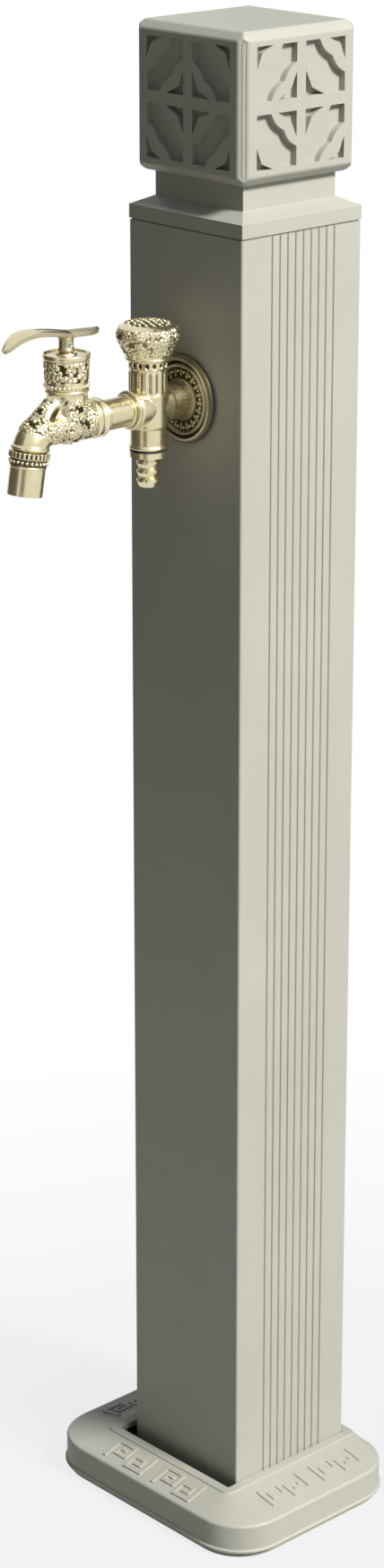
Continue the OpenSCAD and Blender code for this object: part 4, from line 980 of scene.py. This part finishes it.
def make_lever():
    """Lever: a slim stem with a collar, and a leaf with a midrib that rises and curls over."""
    low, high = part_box("lever")
    blade_z = low.z + 11 * MM
    broad, thick, blunt = 7.2, 2.7, 0.02
    reach, tail = (LEVER_AXIS.y - low.y) / MM, (high.y - LEVER_AXIS.y) / MM
    lift, droop, curl, sink = 10.4, 15.4, 4, 1.0
    stations, across = 56, 12
    bm = bmesh.new()
    bmesh.ops.create_grid(bm, x_segments=across, y_segments=stations, size=0.5)
    layer = relief_layer(bm)
    for v in bm.verts:
        side, along = 2 * v.co.x, v.co.y + 0.5
        s = -tail + (reach + tail) * along
        share = s / reach if s > 0 else s / tail
        if s > 0:
            line = lift * share - droop * share**curl
            half = broad * (0.8 + 0.25 * math.sin(math.pi * share))
            half *= math.sqrt(max(blunt, 1 - share**6))
        else:
            line = sink * share
            half = broad * (0.8 - 0.15 * share) * math.sqrt(max(blunt, 1 + share**3))
        arch = 1.1 * (1 - side * side) * (1 - 0.5 * abs(share))
        rib = 0.35 * ease(1 - abs(side) / 0.14)
        v.co = Vector((half * side, -s, line + 0.4 + arch + rib)) * MM
        # Painted shade: the blade is a little darker all over, and darker still towards its edges
        v[layer] = 0.8 - 0.35 * abs(side) ** 4
    bmesh.ops.recalc_face_normals(bm, faces=bm.faces)
    if bm.faces[:][0].normal.z < 0:
        bmesh.ops.reverse_faces(bm, faces=bm.faces)
    bmesh.ops.solidify(bm, geom=bm.faces[:], thickness=thick * MM)
    close_up(bm)
    soften(bm, 0.7, 3)
    moved(bm, Matrix.Translation(LEVER_AXIS + Vector((0, 0, blade_z))))
    stem = spun(
        [
            (3.3, 0), (4.6, 0), (5.0, 0.4), (5.0, 1.6), (4.6, 2.2), (4.4, 3.2), (4.4, 7.0),
            (4.8, 8.2), (5.4, 9.2), (5.6, 10.2), (3.3, 10.6),
        ],
        64,
    )
    moved(stem, Matrix.Translation(LEVER_AXIS + Vector((0, 0, low.z))))
    layer = relief_layer(stem)
    # Painted shade: the stem under the blade is darkened
    for v in stem.verts:
        v[layer] = 0.4
    mesh = bpy.data.meshes.new("lever_stem")
    stem.to_mesh(mesh)
    stem.free()
    bm.from_mesh(mesh)
    bpy.data.meshes.remove(mesh)
    piece("leaf_lever", bm, chased_gold, "gold_brass", "lever_handle", "lever")


make_flange()
make_angle_body()
make_wheel_bonnet()
make_hand_wheel()
make_wheel_crown()
make_lever_bonnet()
make_bib_body()
make_nozzle_ring()
make_lever()


# Studio: a pale floor, a soft key from the right, a dim even sky and cards for the brass to show


def seen_directly(tree):
    """1 for what the eye, metal or glass sees, 0 for light that falls on the object."""
    rays = add(tree, "ShaderNodeLightPath").outputs
    seen = rays["Is Camera Ray"]
    for kind in ("Is Glossy Ray", "Is Transmission Ray"):
        seen = add(tree, "ShaderNodeMath", {0: seen, 1: rays[kind]}, operation="MAXIMUM").outputs[0]
    return seen


def set_piece(name, bm, material):
    """A part of the studio, kept off the object."""
    mesh = bpy.data.meshes.new(name)
    bm.to_mesh(mesh)
    bm.free()
    mesh.materials.append(material)
    made = bpy.data.objects.new(name, mesh)
    bpy.context.scene.collection.objects.link(made)
    return made


def make_floor():
    """Pale floor, plain white away from the object, with its shadow near it and under the cover."""
    tucked = 3
    material, tree = new_material("pale_studio_floor")
    paint = add(
        tree,
        "ShaderNodeBsdfPrincipled",
        {"Base Color": linear("#929290"), "Roughness": 0.9, "Specular IOR Level": 0.1},
    )
    white = add(tree, "ShaderNodeEmission", {"Color": linear("#FFFFFF"), "Strength": 1.0})
    where = add(tree, "ShaderNodeTexCoord").outputs["Object"]
    away = add(tree, "ShaderNodeVectorMath", {0: where}, operation="LENGTH").outputs["Value"]
    share = add(
        tree,
        "ShaderNodeMapRange",
        {"Value": away, "From Min": 0.15, "From Max": 0.7, "To Min": 0.82, "To Max": 1.0},
    ).outputs["Result"]
    # Distance from the straight middle of the cover's rounded outline
    middle = Vector((COVER_X, COVER_Y, 0)) * MM
    straight = Vector((COVER_W / 2 - COVER_R, COVER_D / 2 - COVER_R, 0)) * MM
    off = where
    steps = [("SUBTRACT", middle), ("ABSOLUTE", UP), ("SUBTRACT", straight), ("MAXIMUM", Vector())]
    for step, by in steps:
        off = add(tree, "ShaderNodeVectorMath", {0: off, 1: by}, operation=step).outputs["Vector"]
    off = add(tree, "ShaderNodeVectorMath", {0: off}, operation="LENGTH").outputs["Value"]
    outside = add(
        tree, "ShaderNodeMath", {0: off, 1: (COVER_R - tucked) * MM}, operation="GREATER_THAN"
    ).outputs[0]
    for limit in (outside, seen_directly(tree)):
        share = add(tree, "ShaderNodeMath", {0: share, 1: limit}, operation="MULTIPLY").outputs[0]
    mixed = add(
        tree, "ShaderNodeMixShader", {0: share, 1: paint.outputs["BSDF"], 2: white.outputs[0]}
    )
    add(tree, "ShaderNodeOutputMaterial", {"Surface": mixed.outputs[0]})
    bm = bmesh.new()
    bmesh.ops.create_grid(bm, x_segments=8, y_segments=8, size=30)
    set_piece("studio_floor", bm, material)


def make_card(side, place, wide, tall, colour):
    """A card that the camera doesn't see and that polished brass shows as a stripe."""
    material, tree = new_material(side + "_studio_card")
    paint = add(
        tree, "ShaderNodeBsdfPrincipled", {"Base Color": linear(colour), "Roughness": 0.9}
    )
    add(tree, "ShaderNodeOutputMaterial", {"Surface": paint.outputs["BSDF"]})
    bm = bmesh.new()
    bmesh.ops.create_grid(bm, x_segments=4, y_segments=4, size=0.5)
    facing = Vector((-place[0], -place[1], 0)).to_track_quat("Z", "Y").to_matrix().to_4x4()
    moved(bm, Matrix.Translation(place) @ facing @ Matrix.Diagonal((wide, tall, 1, 1)))
    card = set_piece(side + "_studio_card", bm, material)
    card.visible_camera = False


def make_lamp(name, place, target, size, power):
    """A round soft lamp turned to a target, in metres and watts."""
    data = bpy.data.lights.new(name, "AREA")
    data.shape = "DISK"
    data.size = size
    data.energy = power
    lamp = bpy.data.objects.new(name, data)
    lamp.location = place
    lamp.rotation_euler = (Vector(target) - Vector(place)).to_track_quat("-Z", "Y").to_euler()
    bpy.context.scene.collection.objects.link(lamp)


def make_sky():
    """Even white to the eye and to metal; as light, a cool sky that is brighter overhead."""
    world = bpy.data.worlds.new("studio_sky")
    bpy.context.scene.world = world
    world.use_nodes = True
    tree = world.node_tree
    tree.nodes.clear()
    way = add(tree, "ShaderNodeTexCoord").outputs["Generated"]
    height = add(tree, "ShaderNodeSeparateXYZ", {"Vector": way}).outputs["Z"]
    glow = add(
        tree, "ShaderNodeMapRange", {"Value": height, "To Min": 0.05, "To Max": 0.3}
    ).outputs["Result"]
    soft = add(tree, "ShaderNodeBackground", {"Color": linear("#C6DBFA"), "Strength": glow})
    white = add(tree, "ShaderNodeBackground", {"Color": linear("#FFFFFF"), "Strength": 1.0})
    seen = seen_directly(tree)
    mixed = add(tree, "ShaderNodeMixShader", {0: seen, 1: soft.outputs[0], 2: white.outputs[0]})
    add(tree, "ShaderNodeOutputWorld", {"Surface": mixed.outputs[0]})


make_floor()
make_sky()
make_card("left", (-0.68, -0.73, 0.85), 1.7, 1.65, "#575245")
make_card("back", (-0.34, 1.1, 0.8), 1.45, 1.5, "#34322A")
make_card("front", (0.5, -1.12, 0.5), 0.5, 0.9, "#F0E6C8")
make_lamp("key_from_the_right", (7.35, 0.9, 7.2), (0, 0, 0.5), 2.4, 1650)
make_lamp("fill_from_the_front", (-1.6, -3.2, 1.6), (0, 0, 0.5), 2.4, 4.2)


# Camera: at the photograph's angle, with no shift

AZIMUTH, ELEVATION = math.radians(47.16), math.radians(19.61)
FOCAL_PX, FRAME_LONG_PX, SENSOR = 3938.0, 1749.0, 36.0
DISTANCE, AIM_RIGHT, AIM_UP = 2.273, -0.0323, 0.5031

back = Vector(
    (
        math.sin(AZIMUTH) * math.cos(ELEVATION),
        -math.cos(AZIMUTH) * math.cos(ELEVATION),
        math.sin(ELEVATION),
    )
)
right = Vector((math.cos(AZIMUTH), math.sin(AZIMUTH), 0))
camera_data = bpy.data.cameras.new("camera")
camera_data.sensor_width = SENSOR
camera_data.lens = FOCAL_PX / FRAME_LONG_PX * SENSOR
camera = bpy.data.objects.new("camera", camera_data)
camera.location = Vector((0, 0, AIM_UP)) + right * AIM_RIGHT + back * DISTANCE
camera.rotation_euler = (-back).to_track_quat("-Z", "Y").to_euler()
bpy.context.scene.collection.objects.link(camera)
bpy.context.scene.camera = camera
bpy.context.scene.view_settings.view_transform = "Standard"
